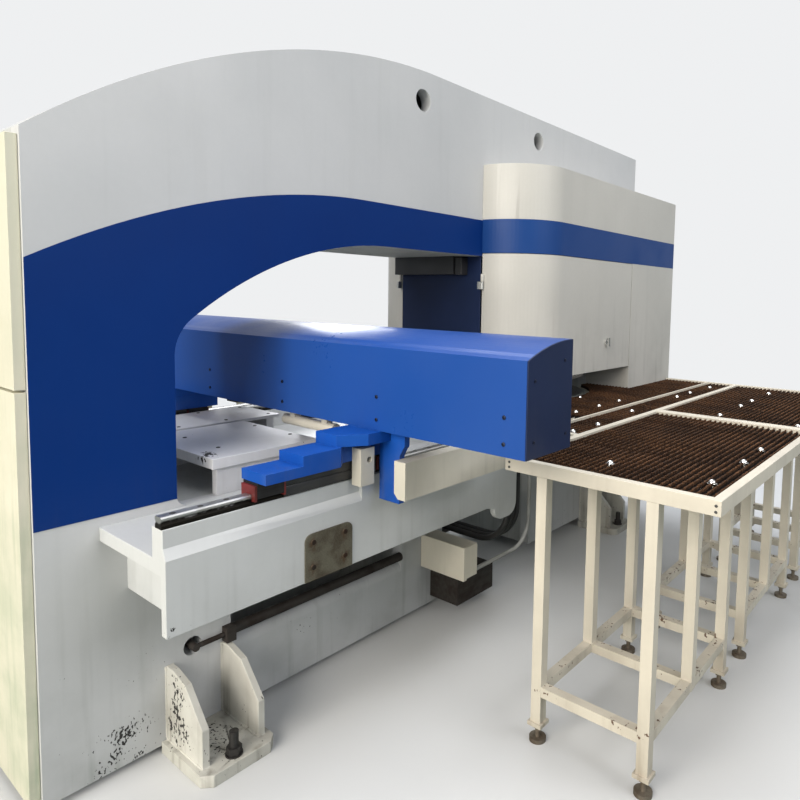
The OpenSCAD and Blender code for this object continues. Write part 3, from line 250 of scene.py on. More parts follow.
class Effects:
    """Makes the shared shader groups, each on its first use."""

    KINDS = {"Position": "Vector", "Centre": "Vector", "Stretch": "Vector", "Lay": "Vector", "Color": "Color",
             "Drift": "Color", "Dirt": "Color", "Bare": "Color", "Stain": "Color"}

    def __init__(self) -> None:
        """Starts with no group made."""
        self.made: dict[Effect, bpy.types.NodeTree] = {}

    def use(self, tree: Tree, effect: Effect, inputs: dict[str, object]) -> Node:
        """Adds a shared group to a material.

        Args:
            tree: the material's tree.
            effect: which group.
            inputs: values or sockets by input name.

        Returns:
            The group's node.
        """
        if effect not in self.made:
            {Effect.TONE: self.tone, Effect.PATCH: self.patch, Effect.CHIPS: self.chips,
             Effect.GRIME: self.grime, Effect.GRAIN: self.grain}[effect]()
        return tree.add("ShaderNodeGroup", inputs, node_tree=self.made[effect])

    def start(self, effect: Effect, inputs: str, outputs: str) -> tuple[Tree, bpy.types.NodeOutputs, Node]:
        """Makes an empty group.

        Args:
            effect: which group.
            inputs: the names of its inputs besides the position.
            outputs: the names of its outputs.

        Returns:
            The tree, what it is given and its output node.
        """
        group = bpy.data.node_groups.new(effect.value, "ShaderNodeTree")
        for way, names in (("INPUT", "Position " + inputs), ("OUTPUT", outputs)):
            for label in names.split():
                kind = "NodeSocket" + self.KINDS.get(label, "Float")
                group.interface.new_socket(name=label, in_out=way, socket_type=kind)
        self.made[effect] = group
        tree = Tree(group)
        return tree, tree.add("NodeGroupInput").outputs, tree.add("NodeGroupOutput")

    def tone(self) -> None:
        """Slow drift of a colour, a soft change of gloss and the fine peel of sprayed paint."""
        tree, given, out = self.start(Effect.TONE, "Color Drift Scale Gloss", "Color Roughness Height")
        place = given["Position"]
        slow = tree.noise(place, given["Scale"], 4.0)
        fine = tree.noise(place, 60.0, 4.0)
        share = tree.maths("ADD", tree.span(slow, 0.36, 0.66, 0.0, 0.8),
                           tree.span(fine, 0.3, 0.7, -0.04, 0.08))
        wide = tree.noise(place, 3.0, 2.0)
        gloss = tree.maths("ADD", given["Gloss"], tree.span(wide, 0.3, 0.7, -0.06, 0.08))
        tree.feed(out, {"Color": tree.mix(share, given["Color"], given["Drift"]),
                        "Roughness": tree.maths("ADD", gloss, tree.span(fine, 0.3, 0.7, -0.01, 0.02)),
                        "Height": tree.noise(place, 420.0, 2.0)})

    def patch(self) -> None:
        """A soft round region, one at its middle and nothing past its reach."""
        tree, given, out = self.start(Effect.PATCH, "Centre Stretch", "Mask")
        away = tree.vector("SUBTRACT", given["Position"], given["Centre"])
        ratio = tree.vector("DIVIDE", away, given["Stretch"])
        tree.feed(out, {"Mask": tree.span(tree.length(ratio), 1.0, 0.25)})

    def chips(self) -> None:
        """Chips and short scrapes in paint, thick where the patch is strong."""
        tree, given, out = self.start(Effect.CHIPS, "Color Bare Patch Scale", "Color Mask")
        place = given["Position"]
        grit = tree.noise(tree.scaled(place, (1.0, 1.0, 0.7)), given["Scale"], 5.0)
        cluster = tree.span(tree.noise(place, 9.0, 2.0), 0.35, 0.65, 0.12, 0.34)
        limit = tree.maths("SUBTRACT", 0.83, tree.maths("MULTIPLY", given["Patch"], cluster))
        mask = tree.span(grit, limit, tree.maths("ADD", limit, 0.03))
        tree.feed(out, {"Mask": mask, "Color": tree.mix(mask, given["Color"], given["Bare"])})

    def grime(self) -> None:
        """Dust and runs of dirt that grow towards a foot level."""
        tree, given, out = self.start(Effect.GRIME, "Color Dirt Amount Foot Reach", "Color Mask")
        place, foot = given["Position"], given["Foot"]
        runs = tree.noise(tree.scaled(place, (26.0, 26.0, 1.6)), 1.0, 4.0)
        cloud = tree.noise(place, 5.0, 5.0)
        low = tree.span(tree.height(place), tree.maths("ADD", foot, given["Reach"]), foot)
        streaks = tree.maths("MULTIPLY", tree.span(runs, 0.5, 0.78), tree.maths("ADD", low, 0.22))
        dust = tree.maths("MULTIPLY", tree.span(cloud, 0.38, 0.72), tree.maths("ADD", low, 0.12))
        mask = tree.maths("MULTIPLY", tree.maths("ADD", streaks, dust), given["Amount"], True)
        tree.feed(out, {"Mask": mask, "Color": tree.mix(mask, given["Color"], given["Dirt"])})

    def grain(self) -> None:
        """The lay of grinding or milling, stretched along the cut, with oil stains over it."""
        tree, given, out = self.start(Effect.GRAIN, "Color Stain Lay Gloss Amount", "Color Roughness Height")
        place = given["Position"]
        lines = tree.noise(tree.scaled(place, given["Lay"]), 1.0, 5.0)
        cloud = tree.noise(place, 14.0, 5.0)
        stain = tree.maths("MULTIPLY", tree.span(cloud, 0.42, 0.68), given["Amount"], True)
        shade = tree.maths("ADD", stain, tree.span(lines, 0.35, 0.65, 0.0, 0.22), True)
        rough = tree.maths("ADD", given["Gloss"], tree.span(lines, 0.3, 0.7, -0.08, 0.14))
        tree.feed(out, {"Color": tree.mix(shade, given["Color"], given["Stain"]),
                        "Roughness": tree.maths("ADD", rough, tree.maths("MULTIPLY", stain, 0.18)),
                        "Height": lines})


EFFECTS = Effects()


@dataclass(frozen=True)
class Patch:
    """A round region of wear: its middle in the source's millimetres, its reach in metres and its strength."""

    x: float
    y: float
    z: float
    reach: Triple
    strength: float = 1.0


class Finish(ABC):
    """What every finish shares: a name, a material and the way that it joins its patches."""

    name: str

    @abstractmethod
    def material(self) -> Material:
        """Makes the finish and returns its material."""

    def spread(self, tree: Tree, place: Socket, patches: tuple[Patch, ...], floor: float = 0.0) -> object:
        """Joins patches into one mask.

        Args:
            tree: the material's tree.
            place: the position socket.
            patches: the patches.
            floor: the mask's value away from them.

        Returns:
            The mask, or the floor where there are no patches.
        """
        total: object = floor
        for patch in patches:
            node = EFFECTS.use(tree, Effect.PATCH, {
                "Position": place, "Centre": row(patch.x, patch.y, patch.z), "Stretch": patch.reach})
            total = tree.maths("MAXIMUM", total, tree.maths("MULTIPLY", node.outputs["Mask"], patch.strength))
        return total


@dataclass(frozen=True)
class Paint(Finish):
    """A sprayed machine paint that has aged: drift, grime towards the floor and chips in places.

    The grime is thickest at its foot, a height in metres, and thins out over its reach above that.
    """

    name: str
    colour: Triple
    drift: Triple
    gloss: float = 0.42
    scale: float = 1.6
    dirt: Triple = (0.10, 0.095, 0.08)
    dirt_amount: float = 0.25
    foot: float = 0.0
    reach: float = 0.9
    chips: tuple[Patch, ...] = ()
    bare: Triple = (0.018, 0.017, 0.016)
    chip_scale: float = 70.0
    all_over: float = 0.0
    coat: float = 0.0
    specular: float = 0.5

    def material(self) -> Material:
        """Makes the finish.

        Returns:
            The material.
        """
        tree, shader, place, material = principled(self.name)
        tone = EFFECTS.use(tree, Effect.TONE, {
            "Position": place, "Color": rgba(self.colour), "Drift": rgba(self.drift), "Scale": self.scale,
            "Gloss": self.gloss})
        grime = EFFECTS.use(tree, Effect.GRIME, {
            "Position": place, "Color": tone.outputs["Color"], "Dirt": rgba(self.dirt),
            "Amount": self.dirt_amount, "Foot": self.foot, "Reach": self.reach})
        chips = EFFECTS.use(tree, Effect.CHIPS, {
            "Position": place, "Color": grime.outputs["Color"], "Bare": rgba(self.bare),
            "Patch": self.spread(tree, place, self.chips, self.all_over), "Scale": self.chip_scale})
        bare = chips.outputs["Mask"]
        dull = tree.maths("MULTIPLY", grime.outputs["Mask"], 0.25)
        worn = tree.maths("ADD", tone.outputs["Roughness"], dull)
        height = tree.maths("SUBTRACT", tree.maths("MULTIPLY", tone.outputs["Height"], 0.12), bare)
        tree.feed(shader, {
            "Base Color": chips.outputs["Color"],
            "Roughness": tree.maths("MAXIMUM", worn, tree.maths("MULTIPLY", bare, 0.8)),
            "Specular IOR Level": self.specular, "Coat Weight": self.coat, "Coat Roughness": 0.12,
            "Normal": tree.bump(height, 0.35, 0.0006)})
        return material


@dataclass(frozen=True)
class Metal(Finish):
    """Bare metal with the lay of its cut and oil on it.

    Where a height in metres is given, the metal below it is dark with oil.
    """

    name: str
    colour: Triple
    stain: Triple
    lay: Triple
    gloss: float = 0.28
    amount: float = 0.35
    metallic: float = 1.0
    oil_below: float | None = None
    oil: Triple = (0.02, 0.018, 0.015)
    oil_edge: float = 0.004
    rust: tuple[Patch, ...] = ()
    rust_colour: Triple = (0.085, 0.040, 0.018)

    def material(self) -> Material:
        """Makes the finish.

        Returns:
            The material.
        """
        tree, shader, place, material = principled(self.name)
        grain = EFFECTS.use(tree, Effect.GRAIN, {
            "Position": place, "Color": rgba(self.colour), "Stain": rgba(self.stain), "Lay": self.lay,
            "Gloss": self.gloss, "Amount": self.amount})
        colour, rough = grain.outputs["Color"], grain.outputs["Roughness"]
        if self.oil_below is not None:
            wave = tree.span(tree.noise(place, 40.0), 0.3, 0.7, -self.oil_edge, self.oil_edge)
            wet = tree.span(tree.maths("ADD", tree.height(place), wave), self.oil_below + self.oil_edge,
                            self.oil_below - self.oil_edge)
            colour = tree.mix(wet, colour, rgba(self.oil))
            rough = tree.maths("ADD", rough, tree.maths("MULTIPLY", wet, 0.1))
        if self.rust:
            ragged = tree.maths("MULTIPLY", self.spread(tree, place, self.rust),
                                tree.span(tree.noise(place, 70.0), 0.35, 0.6))
            colour = tree.mix(ragged, colour, rgba(self.rust_colour))
            rough = tree.maths("ADD", rough, tree.maths("MULTIPLY", ragged, 0.3))
        tree.feed(shader, {"Base Color": colour, "Roughness": rough, "Metallic": self.metallic,
                           "Normal": tree.bump(grain.outputs["Height"], 0.2, 0.0003)})
        return material


@dataclass(frozen=True)
class Bristle(Finish):
    """Nylon bristle with painted light: painted shade darkens its lower part and a painted highlight warms its
    upper end, between two heights in metres.
    """

    name: str
    # Painted shade low among the tufts, then a warm painted highlight at the top of the bristles
    shade_root: Triple = (0.007, 0.005, 0.005)
    tip: Triple = (0.17, 0.080, 0.036)
    low: float = 0.984
    high: float = 0.998

    def material(self) -> Material:
        """Makes the finish.

        Returns:
            The material.
        """
        tree, shader, place, material = principled(self.name)
        tuft = tree.noise(place, 160.0, 3.0)
        wide = tree.noise(place, 4.0, 3.0)
        # The painted highlight's share grows with height, broken up tuft by tuft
        lit_share = tree.maths("MULTIPLY", tree.span(tree.height(place), self.low, self.high, 0.0, 1.0, False),
                           tree.span(tuft, 0.35, 0.65, 0.25, 1.0))
        lit_share = tree.maths("MULTIPLY", lit_share, tree.span(wide, 0.35, 0.65, 0.45, 1.0))
        tree.feed(shader, {"Base Color": tree.mix(lit_share, rgba(self.shade_root), rgba(self.tip)),
                           "Roughness": tree.span(tuft, 0.3, 0.7, 0.55, 0.8), "Specular IOR Level": 0.12,
                           "Normal": tree.bump(tuft, 0.5, 0.001)})
        return material


@dataclass(frozen=True)
class Moulded(Finish):
    """Moulded rubber or plastic with a fine skin."""

    name: str
    colour: Triple
    drift: Triple
    gloss: float = 0.5

    def material(self) -> Material:
        """Makes the finish.

        Returns:
            The material.
        """
        tree, shader, place, material = principled(self.name)
        tone = EFFECTS.use(tree, Effect.TONE, {
            "Position": place, "Color": rgba(self.colour), "Drift": rgba(self.drift), "Scale": 9.0,
            "Gloss": self.gloss})
        tree.feed(shader, {"Base Color": tone.outputs["Color"], "Roughness": tone.outputs["Roughness"],
                           "Normal": tree.bump(tone.outputs["Height"], 0.3, 0.0004)})
        return material


class Workpiece:
    """One new piece: solids gathered in a bmesh, then set on its body as an object at the origin."""

    # Shares of a screw head's radius, then of its depth
    RIM, LAND, WALL = 0.12, 0.34, 0.02
    CROWN, SOCKET = 0.15, 0.6

    def __init__(self, name: str) -> None:
        """Starts an empty piece."""
        self.name = name
        self.mesh = bmesh.new()

    def block(self, low: Vector, high: Vector, edge: float) -> None:
        """Adds a block.

        Args:
            low: its lowest corner.
            high: its highest corner.
            edge: the radius of its edges, or 0 for sharp ones.
        """
        verts = bmesh.ops.create_cube(self.mesh, size=1.0)["verts"]
        bmesh.ops.scale(self.mesh, vec=high - low, verts=verts)
        bmesh.ops.translate(self.mesh, vec=(low + high) / 2, verts=verts)
        if edge > 0:
            edges = list({e for v in verts for e in v.link_edges})
            bmesh.ops.bevel(self.mesh, geom=edges, offset=edge, offset_type="OFFSET", segments=2,
                            profile=0.5, affect="EDGES", material=-1, clamp_overlap=True)

    def turned(self, foot: Vector, axis: Axis, radius: float, depth: float, sides: int = 20,
               tip: float | None = None) -> bmesh.types.BMFace:
        """Adds a turned part that stands on a point.

        Args:
            foot: the middle of its foot.
            axis: where it points.
            radius: the radius of its foot.
            depth: its length.
            sides: the faces round it.
            tip: the radius of its far end, or None for the same.

        Returns:
            Its far face.
        """
        end = radius if tip is None else tip
        verts = bmesh.ops.create_cone(self.mesh, cap_ends=True, cap_tris=False, segments=sides,
                                      radius1=radius, radius2=end, depth=depth)["verts"]
        bmesh.ops.translate(self.mesh, vec=(0.0, 0.0, depth / 2), verts=verts)
        way = Vector(axis.value)
        turn = Vector((0.0, 0.0, 1.0)).rotation_difference(way).to_matrix()
        bmesh.ops.rotate(self.mesh, cent=(0.0, 0.0, 0.0), matrix=turn, verts=verts)
        bmesh.ops.translate(self.mesh, vec=foot, verts=verts)
        return max({f for v in verts for f in v.link_faces}, key=lambda f: f.calc_center_median().dot(way))

    def screw(self, foot: Vector, axis: Axis, radius: float, depth: float) -> None:
        """Adds a screw head with a round socket.

        Args:
            foot: the middle of its seat.
            axis: where the head points.
            radius: the head's radius.
            depth: the head's height.
        """
        face = self.turned(foot, axis, radius, depth, 16)
        bmesh.ops.inset_individual(self.mesh, faces=[face], thickness=radius * self.RIM, depth=0.0)
        bmesh.ops.translate(self.mesh, vec=Vector(axis.value) * depth * self.CROWN, verts=list(face.verts))
        bmesh.ops.inset_individual(self.mesh, faces=[face], thickness=radius * self.LAND, depth=0.0)
        bmesh.ops.inset_individual(self.mesh, faces=[face], thickness=radius * self.WALL,
                                   depth=-depth * self.SOCKET)

    def ride(self, material: Material, body: Body, smooth: float = 35.0) -> Object:
        """Turns the solids into an object on its body.

        Args:
            material: its finish.
            body: the body that carries it.
            smooth: edges under this angle, in degrees, are shaded smooth.

        Returns:
            The object.
        """
        data = bpy.data.meshes.new(self.name)
        bmesh.ops.recalc_face_normals(self.mesh, faces=self.mesh.faces)
        for edge in self.mesh.edges:
            edge.smooth = len(edge.link_faces) == 2 and edge.calc_face_angle(0.0) < math.radians(smooth)
        for face in self.mesh.faces:
            face.smooth = True
        self.mesh.to_mesh(data)
        self.mesh.free()
        data.materials.append(material)
        piece = place_object(self.name, data)
        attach(piece, body.value)
        LOG.info("piece %s: %d faces", self.name, len(data.polygons))
        return piece


# The paints, each with the names of the nodes that wear it
PAINTS: tuple[tuple[Finish, str], ...] = (
    (Paint("frame_paint", (0.54, 0.545, 0.545), (0.49, 0.5, 0.505), 0.4, 1.2, dirt=(0.2, 0.21, 0.19),
           dirt_amount=0.22, reach=0.8, chip_scale=120.0,
           chips=(Patch(FRAME_SIDE, 250, 90, (0.2, 0.26, 0.15)),
                  Patch(FRAME_SIDE, 330, 330, (0.2, 0.24, 0.18), 0.5),
                  Patch(FRAME_SIDE, 60, 300, (0.2, 0.08, 0.5), 0.5),
                  Patch(FRAME_SIDE, 1000, 240, (0.2, 0.5, 0.2), 0.5),
                  Patch(FRAME_SIDE, 500, 700, (0.2, 0.35, 0.12), 0.45),
                  Patch(FRAME_SIDE, 2900, 120, (0.2, 0.8, 0.12), 0.6))),
     "frame_plate_right frame_plate_left"),
    (Paint("core_paint", (0.5, 0.51, 0.5), (0.42, 0.43, 0.42), 0.45, 1.5, dirt_amount=0.4, reach=1.2,
           all_over=0.2), "frame_core"),
    (Paint("band_paint", (0.0015, 0.0245, 0.145), (0.0022, 0.029, 0.162), 0.45, 1.4, dirt_amount=0.03,
           foot=0.85, reach=0.2, bare=(0.3, 0.3, 0.32), specular=0.1), "side_bands"),
    (Paint("bed_paint", (0.54, 0.55, 0.545), (0.48, 0.495, 0.495), 0.36, 1.8, dirt=(0.16, 0.16, 0.14),
           dirt_amount=0.16, foot=0.55, reach=0.3, all_over=0.12, chip_scale=80.0,
           chips=(Patch(710, 200, 640, (0.1, 0.3, 0.05), 0.9),
                  Patch(600, 190, 840, (0.12, 0.1, 0.03), 0.6))), "side_bed_right side_bed_left"),
    (Paint("foot_paint", (0.56, 0.55, 0.5), (0.48, 0.47, 0.42), 0.5, 6.0, dirt=(0.14, 0.12, 0.09),
           dirt_amount=0.5, reach=0.3, all_over=0.5, chip_scale=105.0, bare=(0.02, 0.018, 0.016),
           chips=(Patch(370, 375, 150, (0.16, 0.07, 0.24), 1.12),
                  Patch(430, 480, 40, (0.25, 0.2, 0.04), 0.8))), "foot_brackets"),
    (Paint("hood_paint", (0.56, 0.545, 0.5), (0.5, 0.49, 0.45), 0.42, 1.2, dirt_amount=0.12, foot=1.1,
           reach=0.6, all_over=0.08), "hoods column_panels housing_door_right housing_door_left"),
    (Paint("housing_blue", (0.008, 0.046, 0.19), (0.01, 0.052, 0.205), 0.4, 1.2, dirt_amount=0.03,
           foot=1.7, reach=0.2, bare=(0.3, 0.3, 0.32), specular=0.2), "housing_bands"),
    (Paint("cabinet_paint", (0.66, 0.62, 0.5), (0.58, 0.57, 0.45), 0.42, 0.9, dirt=(0.33, 0.38, 0.27),
           dirt_amount=0.6, reach=1.7, all_over=0.12), "cabinet_door_upper cabinet_door_lower"),
    (Paint("saddle_blue", (0.005, 0.064, 0.33), (0.008, 0.08, 0.38), 0.42, 5.0, foot=0.98, reach=0.1,
           all_over=0.3, specular=0.2), "saddles x_beam side_arm"),
    (Paint("cover_blue", (0.011, 0.061, 0.277), (0.012, 0.066, 0.294), 0.34, 1.1, dirt_amount=0.02,
           foot=1.1, reach=0.2, coat=0.08, bare=(0.35, 0.36, 0.4), specular=0.25), "beam_cover"),
    # Painted shade: the blue of the throat panel and the beam's end caps, darkened to navy where they stand in
    # shade
    (Paint("shaded_blue_paint", (0.009, 0.018, 0.055), (0.012, 0.023, 0.07), 0.45, 2.0, dirt_amount=0.05,
           foot=1.1, reach=0.3, bare=(0.2, 0.2, 0.22), all_over=0.05, specular=0.2),
     "throat_panel beam_end_caps"),
    (Paint("table_paint", (0.64, 0.59, 0.49), (0.55, 0.51, 0.43), 0.42, 2.5, dirt=(0.24, 0.18, 0.12),
           dirt_amount=0.4, foot=0.02, reach=0.3, all_over=0.3, bare=(0.12, 0.07, 0.045),
           chips=(Patch(0, FRAME_MIDDLE, 205, (12.0, 12.0, 0.035), 0.75),)), "table_frames centre_tables"),
    # Painted light: the covers' own pale grey, lightened past the frame's paint to stand for light on them
    # under the beam
    (Paint("throat_plate_paint_lit", (0.66, 0.66, 0.68), (0.61, 0.62, 0.64), 0.35, 2.5, dirt_amount=0.15,
           foot=0.84, reach=0.15, all_over=0.3, chip_scale=80.0,
           chips=(Patch(222, 572, 975, (0.12, 0.07, 0.06), 1.65),)), "throat_covers"),
    # Painted light: the box's cream, lightened to stand for light on its face in the shade of the bed
    (Paint("box_paint_lit", (0.72, 0.67, 0.56), (0.66, 0.62, 0.52), 0.45, 4.0, dirt_amount=0.2, foot=0.1,
           reach=0.3, all_over=0.15), "junction_box"),
    (Paint("fitting_paint", (0.6, 0.565, 0.48), (0.54, 0.51, 0.43), 0.45, 4.0, dirt_amount=0.15,
           foot=0.85, reach=0.18, all_over=0.15), "beam_fittings"),
    (Paint("black_paint", (0.02, 0.02, 0.022), (0.032, 0.031, 0.031), 0.38, 4.0, dirt=(0.1, 0.09, 0.08),
           dirt_amount=0.2, foot=0.8, reach=0.6, all_over=0.15, bare=(0.2, 0.19, 0.18)),
     "throat_block y_drive x_drive"))

# The rust round the bolts of the machined pads
PAD_RUST = tuple(Patch(side * PAD_FACE, y, z, (0.03, 0.026, 0.036), 0.6)
                 for side in (1, -1) for y in PAD_ROWS for z in (668, 750))

# The bare metals, the rubbers and the plastics, in the same way
METALS: tuple[tuple[Finish, str], ...] = (
    (Metal("cast_iron", even(0.1), (0.04, 0.035, 0.03), even(60.0), 0.55, 0.6, 0.6),
     "turret_drives ram_cylinder"),
    (Metal("ground_steel", (0.56, 0.56, 0.55), (0.25, 0.24, 0.22), (500.0, 6.0, 500.0), 0.22, 0.3),
     "x_carriage x_screw y_screw ram_striker"),
    (Metal("guide_steel", (0.52, 0.52, 0.51), (0.22, 0.21, 0.19), (500.0, 5.0, 500.0), 0.36, 0.45,
           oil_below=0.945), "guide_rails_y"),
    (Metal("x_rail_steel", (0.6, 0.6, 0.58), (0.25, 0.24, 0.22), (5.0, 500.0, 500.0), 0.2, 0.3), "x_rails"),
    (Metal("turned_steel", even(0.5), (0.28, 0.27, 0.25), (90.0, 90.0, 600.0), 0.3, 0.35),
     "clamp_jaw_1 clamp_jaw_2 clamp_jaw_3 turret_upper turret_lower"),
    (Metal("zinc_plate", (0.55, 0.56, 0.55), (0.36, 0.36, 0.34), even(30.0), 0.42, 0.4),
     "cabinet_backplate door_hinges"),
    (Metal("pad_steel", (0.14, 0.13, 0.095), (0.06, 0.045, 0.028), (40.0, 300.0, 300.0), 0.5, 0.7, 0.35,
           rust=PAD_RUST), "access_pads"),
    (Metal("blackened_steel", (0.06, 0.058, 0.056), (0.025, 0.02, 0.018), even(80.0), 0.45, 0.5, 0.7),
     "anchor_studs clamp_bodies punch_tools"),
    (Metal("polished_steel", (0.82, 0.82, 0.8), (0.5, 0.49, 0.46), even(90.0), 0.12, 0.15),
     "ball_transfers door_lock_right door_lock_left latch_upper latch_lower"),
    (Metal("dull_pipe", (0.04, 0.034, 0.03), (0.02, 0.012, 0.008), (50.0, 12.0, 50.0), 0.6, 0.6, 0.3),
     "pipe_fittings"),
    (Metal("block_steel", (0.03, 0.03, 0.032), (0.012, 0.011, 0.01), (300.0, 8.0, 300.0), 0.4, 0.5, 0.6),
     "bearing_blocks_y"),
    (Metal("foot_steel", (0.23, 0.2, 0.16), (0.1, 0.07, 0.045), even(90.0), 0.5, 0.7, 0.6),
     "levelling_feet"),
    # Painted shade: the seals' red is darkened all over for the shade under the saddles
    (Moulded("seal_red", (0.15, 0.014, 0.012), (0.08, 0.009, 0.008)), "block_seals"),
    (Moulded("conduit_grey", (0.36, 0.36, 0.34), (0.26, 0.26, 0.24), 0.42), "box_conduit"),
    (Moulded("switch_black", even(0.02), even(0.035), 0.42), "main_switch"))


@dataclass
class Paintwork:
    """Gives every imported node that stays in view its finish, and rounds its hard edges a little."""

    edges: dict[float, str] = field(default_factory=lambda: {
        0.0008: "beam_cover",
        0.001: "hoods column_panels access_pads clamp_bodies",
        0.0012: "cabinet_door_upper cabinet_door_lower housing_door_right housing_door_left",
        0.0015: "centre_tables throat_panel",
        0.0018: "table_frames",
        0.002: "beam_end_caps side_bed_right side_bed_left side_arm beam_fittings throat_covers throat_block "
               "x_drive y_drive",
        0.0025: "frame_plate_right frame_plate_left",
        0.003: "foot_brackets junction_box saddles"})
    made: dict[str, Material] = field(default_factory=dict)

    def soften(self, node: Object, width: float) -> None:
        """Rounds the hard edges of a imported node, as paint and handling do.

        Args:
            node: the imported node.
            width: the radius in metres.
        """
        weld = node.modifiers.new("weld", "WELD")
        weld.merge_threshold = 0.00002
        bevel = node.modifiers.new("soft_edges", "BEVEL")
        bevel.width = width
        bevel.segments = 2
        bevel.limit_method = "ANGLE"
        bevel.angle_limit = math.radians(40.0)

    def apply(self, nodes: dict[str, Object]) -> None:
        """Dresses the nodes.

        Args:
            nodes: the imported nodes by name.
        """
        for finish, names in PAINTS + METALS:
            self.made[finish.name] = finish.material()
            for name in names.split():
                nodes[name].data.materials.clear()
                nodes[name].data.materials.append(self.made[finish.name])
                LOG.info("node %s: %s", name, finish.name)
        for width, names in self.edges.items():
            for name in names.split():
                self.soften(nodes[name], width)


@dataclass
class BrushTables:
    """The bristles of the brush tables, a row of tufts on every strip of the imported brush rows.

    Lengths and places are in metres.
    """

    pitch: float = 0.010
    across: float = 0.0042
    holder: float = 0.005
    lean: float = 0.0012
    wear: float = 0.0035
    centre_reach: float = 1.087
    table_split: float = 0.585
    seed: int = 11

    def strips(self, node: Object) -> list[tuple[Vector, Vector]]:
        """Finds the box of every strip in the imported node.

        Args:
            node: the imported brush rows.

        Returns:
            The lowest and highest corner of each strip.
        """
        mesh = bmesh.new()
        mesh.from_mesh(node.data)
        bmesh.ops.remove_doubles(mesh, verts=mesh.verts, dist=0.00001)
        seen: set[bmesh.types.BMVert] = set()
        found = []
        for start in mesh.verts:
            if start in seen:
                continue
            seen.add(start)
            island, queue = [], [start]
            while queue:
                vert = queue.pop()
                island.append(vert.co.copy())
                for edge in vert.link_edges:
                    other = edge.other_vert(vert)
                    if other not in seen:
                        seen.add(other)
                        queue.append(other)
            low = Vector(min(c[i] for c in island) for i in range(3))
            high = Vector(max(c[i] for c in island) for i in range(3))
            found.append((low, high))
        mesh.free()
        return sorted(found, key=lambda box: (round(box[0].x, 4), round(box[0].y, 4)))

    def tufts(self, count: int, tall: float, rng: random.Random) -> bpy.types.Mesh:
        """Makes a run of tufts along Y.

        Args:
            count: how many tufts.
            tall: their height.
            rng: the source of their small differences.

        Returns:
            The mesh, its first tuft at the origin.
        """
        mesh = bmesh.new()
        quarter = Matrix.Rotation(math.radians(45), 3, "Z")
        for index in range(count):
            made = bmesh.ops.create_cone(mesh, cap_ends=True, cap_tris=False, segments=4, depth=tall,
                                         radius1=self.across * 0.9, radius2=self.across)["verts"]
            top = [v for v in made if v.co.z > 0]
            bmesh.ops.rotate(mesh, cent=(0, 0, 0), matrix=quarter, verts=made)
            shift = Vector((rng.uniform(-self.lean, self.lean), rng.uniform(-self.lean, self.lean), 0.0))
            bmesh.ops.translate(mesh, vec=shift, verts=top)
            for vert in top:
                vert.co.z -= rng.uniform(0.0, self.wear)
            bmesh.ops.translate(mesh, vec=(0.0, index * self.pitch, tall / 2), verts=made)
        data = bpy.data.meshes.new("tuft_run")
        mesh.to_mesh(data)
        mesh.free()
        return data

    def build(self, nodes: dict[str, Object]) -> None:
        """Builds the tufts in six pieces and hides the plain strips.

        Args:
            nodes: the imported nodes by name.
        """
        rng = random.Random(self.seed)
        material = Bristle("bristle_nylon").material()
        strips = self.strips(nodes["brush_rows"])
        fields: dict[str, list[tuple[Vector, Vector]]] = {}
        for low, high in strips:
            side = "right" if low.x > 0 else "left"
            place = "front" if low.y < self.table_split else "back"
            if abs(low.x + high.x) / 2 < self.centre_reach:
                place = "centre"
            fields.setdefault(f"brush_tufts_{side}_{place}", []).append((low, high))
        tall = strips[0][1].z - strips[0][0].z
        runs: dict[int, bpy.types.Mesh] = {}
        for name, boxes in sorted(fields.items()):
            piece = Workpiece(name)
            for low, high in boxes:
                count = max(1, int((high.y - low.y - 2 * self.across) / self.pitch) + 1)
                if count not in runs:
                    runs[count] = self.tufts(count, tall, rng)
                slack = (high.y - low.y - (count - 1) * self.pitch) / 2
                move = Matrix.Translation(((low.x + high.x) / 2, low.y + slack, low.z))
                runs[count].transform(move)
                piece.mesh.from_mesh(runs[count])
                runs[count].transform(move.inverted())
                piece.block(low, Vector((high.x, high.y, low.z + self.holder)), 0.0)
            made = piece.ride(material, Body.BASE, 20.0)
            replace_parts(made, "brush_rows")
        for run in runs.values():
            bpy.data.meshes.remove(run)


@dataclass
class CrossBeam:
    """The cover screws of the cross beam.

    Places are in the source's millimetres. A screw's radius and height are in metres.
    """

    screw_x: tuple[float, ...] = (1310.0, 768.0, 226.0, -316.0, -858.0)
    screw_z: tuple[float, ...] = (1218.0, 1138.0)
    screw_size: tuple[float, float] = (0.0065, 0.0025)
    face_y: float = 880.0
    end_size: tuple[float, float] = (0.005, 0.002)
    end_x: float = 1391.0
    end_spots: Rows = ((915.0, 1150.0), (1095.0, 1150.0), (1080.0, 1380.0), (915.0, 1330.0))

    def build(self) -> None:
        """Builds the screws."""
        dark = Metal("cover_screw", (0.05, 0.06, 0.10), (0.02, 0.02, 0.03), even(200.0), 0.35, 0.3)
        screws = Workpiece("cover_screws")
        for x in self.screw_x:
            for z in self.screw_z:
                screws.screw(row(x, self.face_y, z), Axis.MINUS_Y, *self.screw_size)
        for side in (-1, 1):
            for y, z in self.end_spots:
                screws.screw(row(side * self.end_x, y, z), outward(side), *self.end_size)
        screws.ride(dark.material(), Body.Y_CARRIAGE)


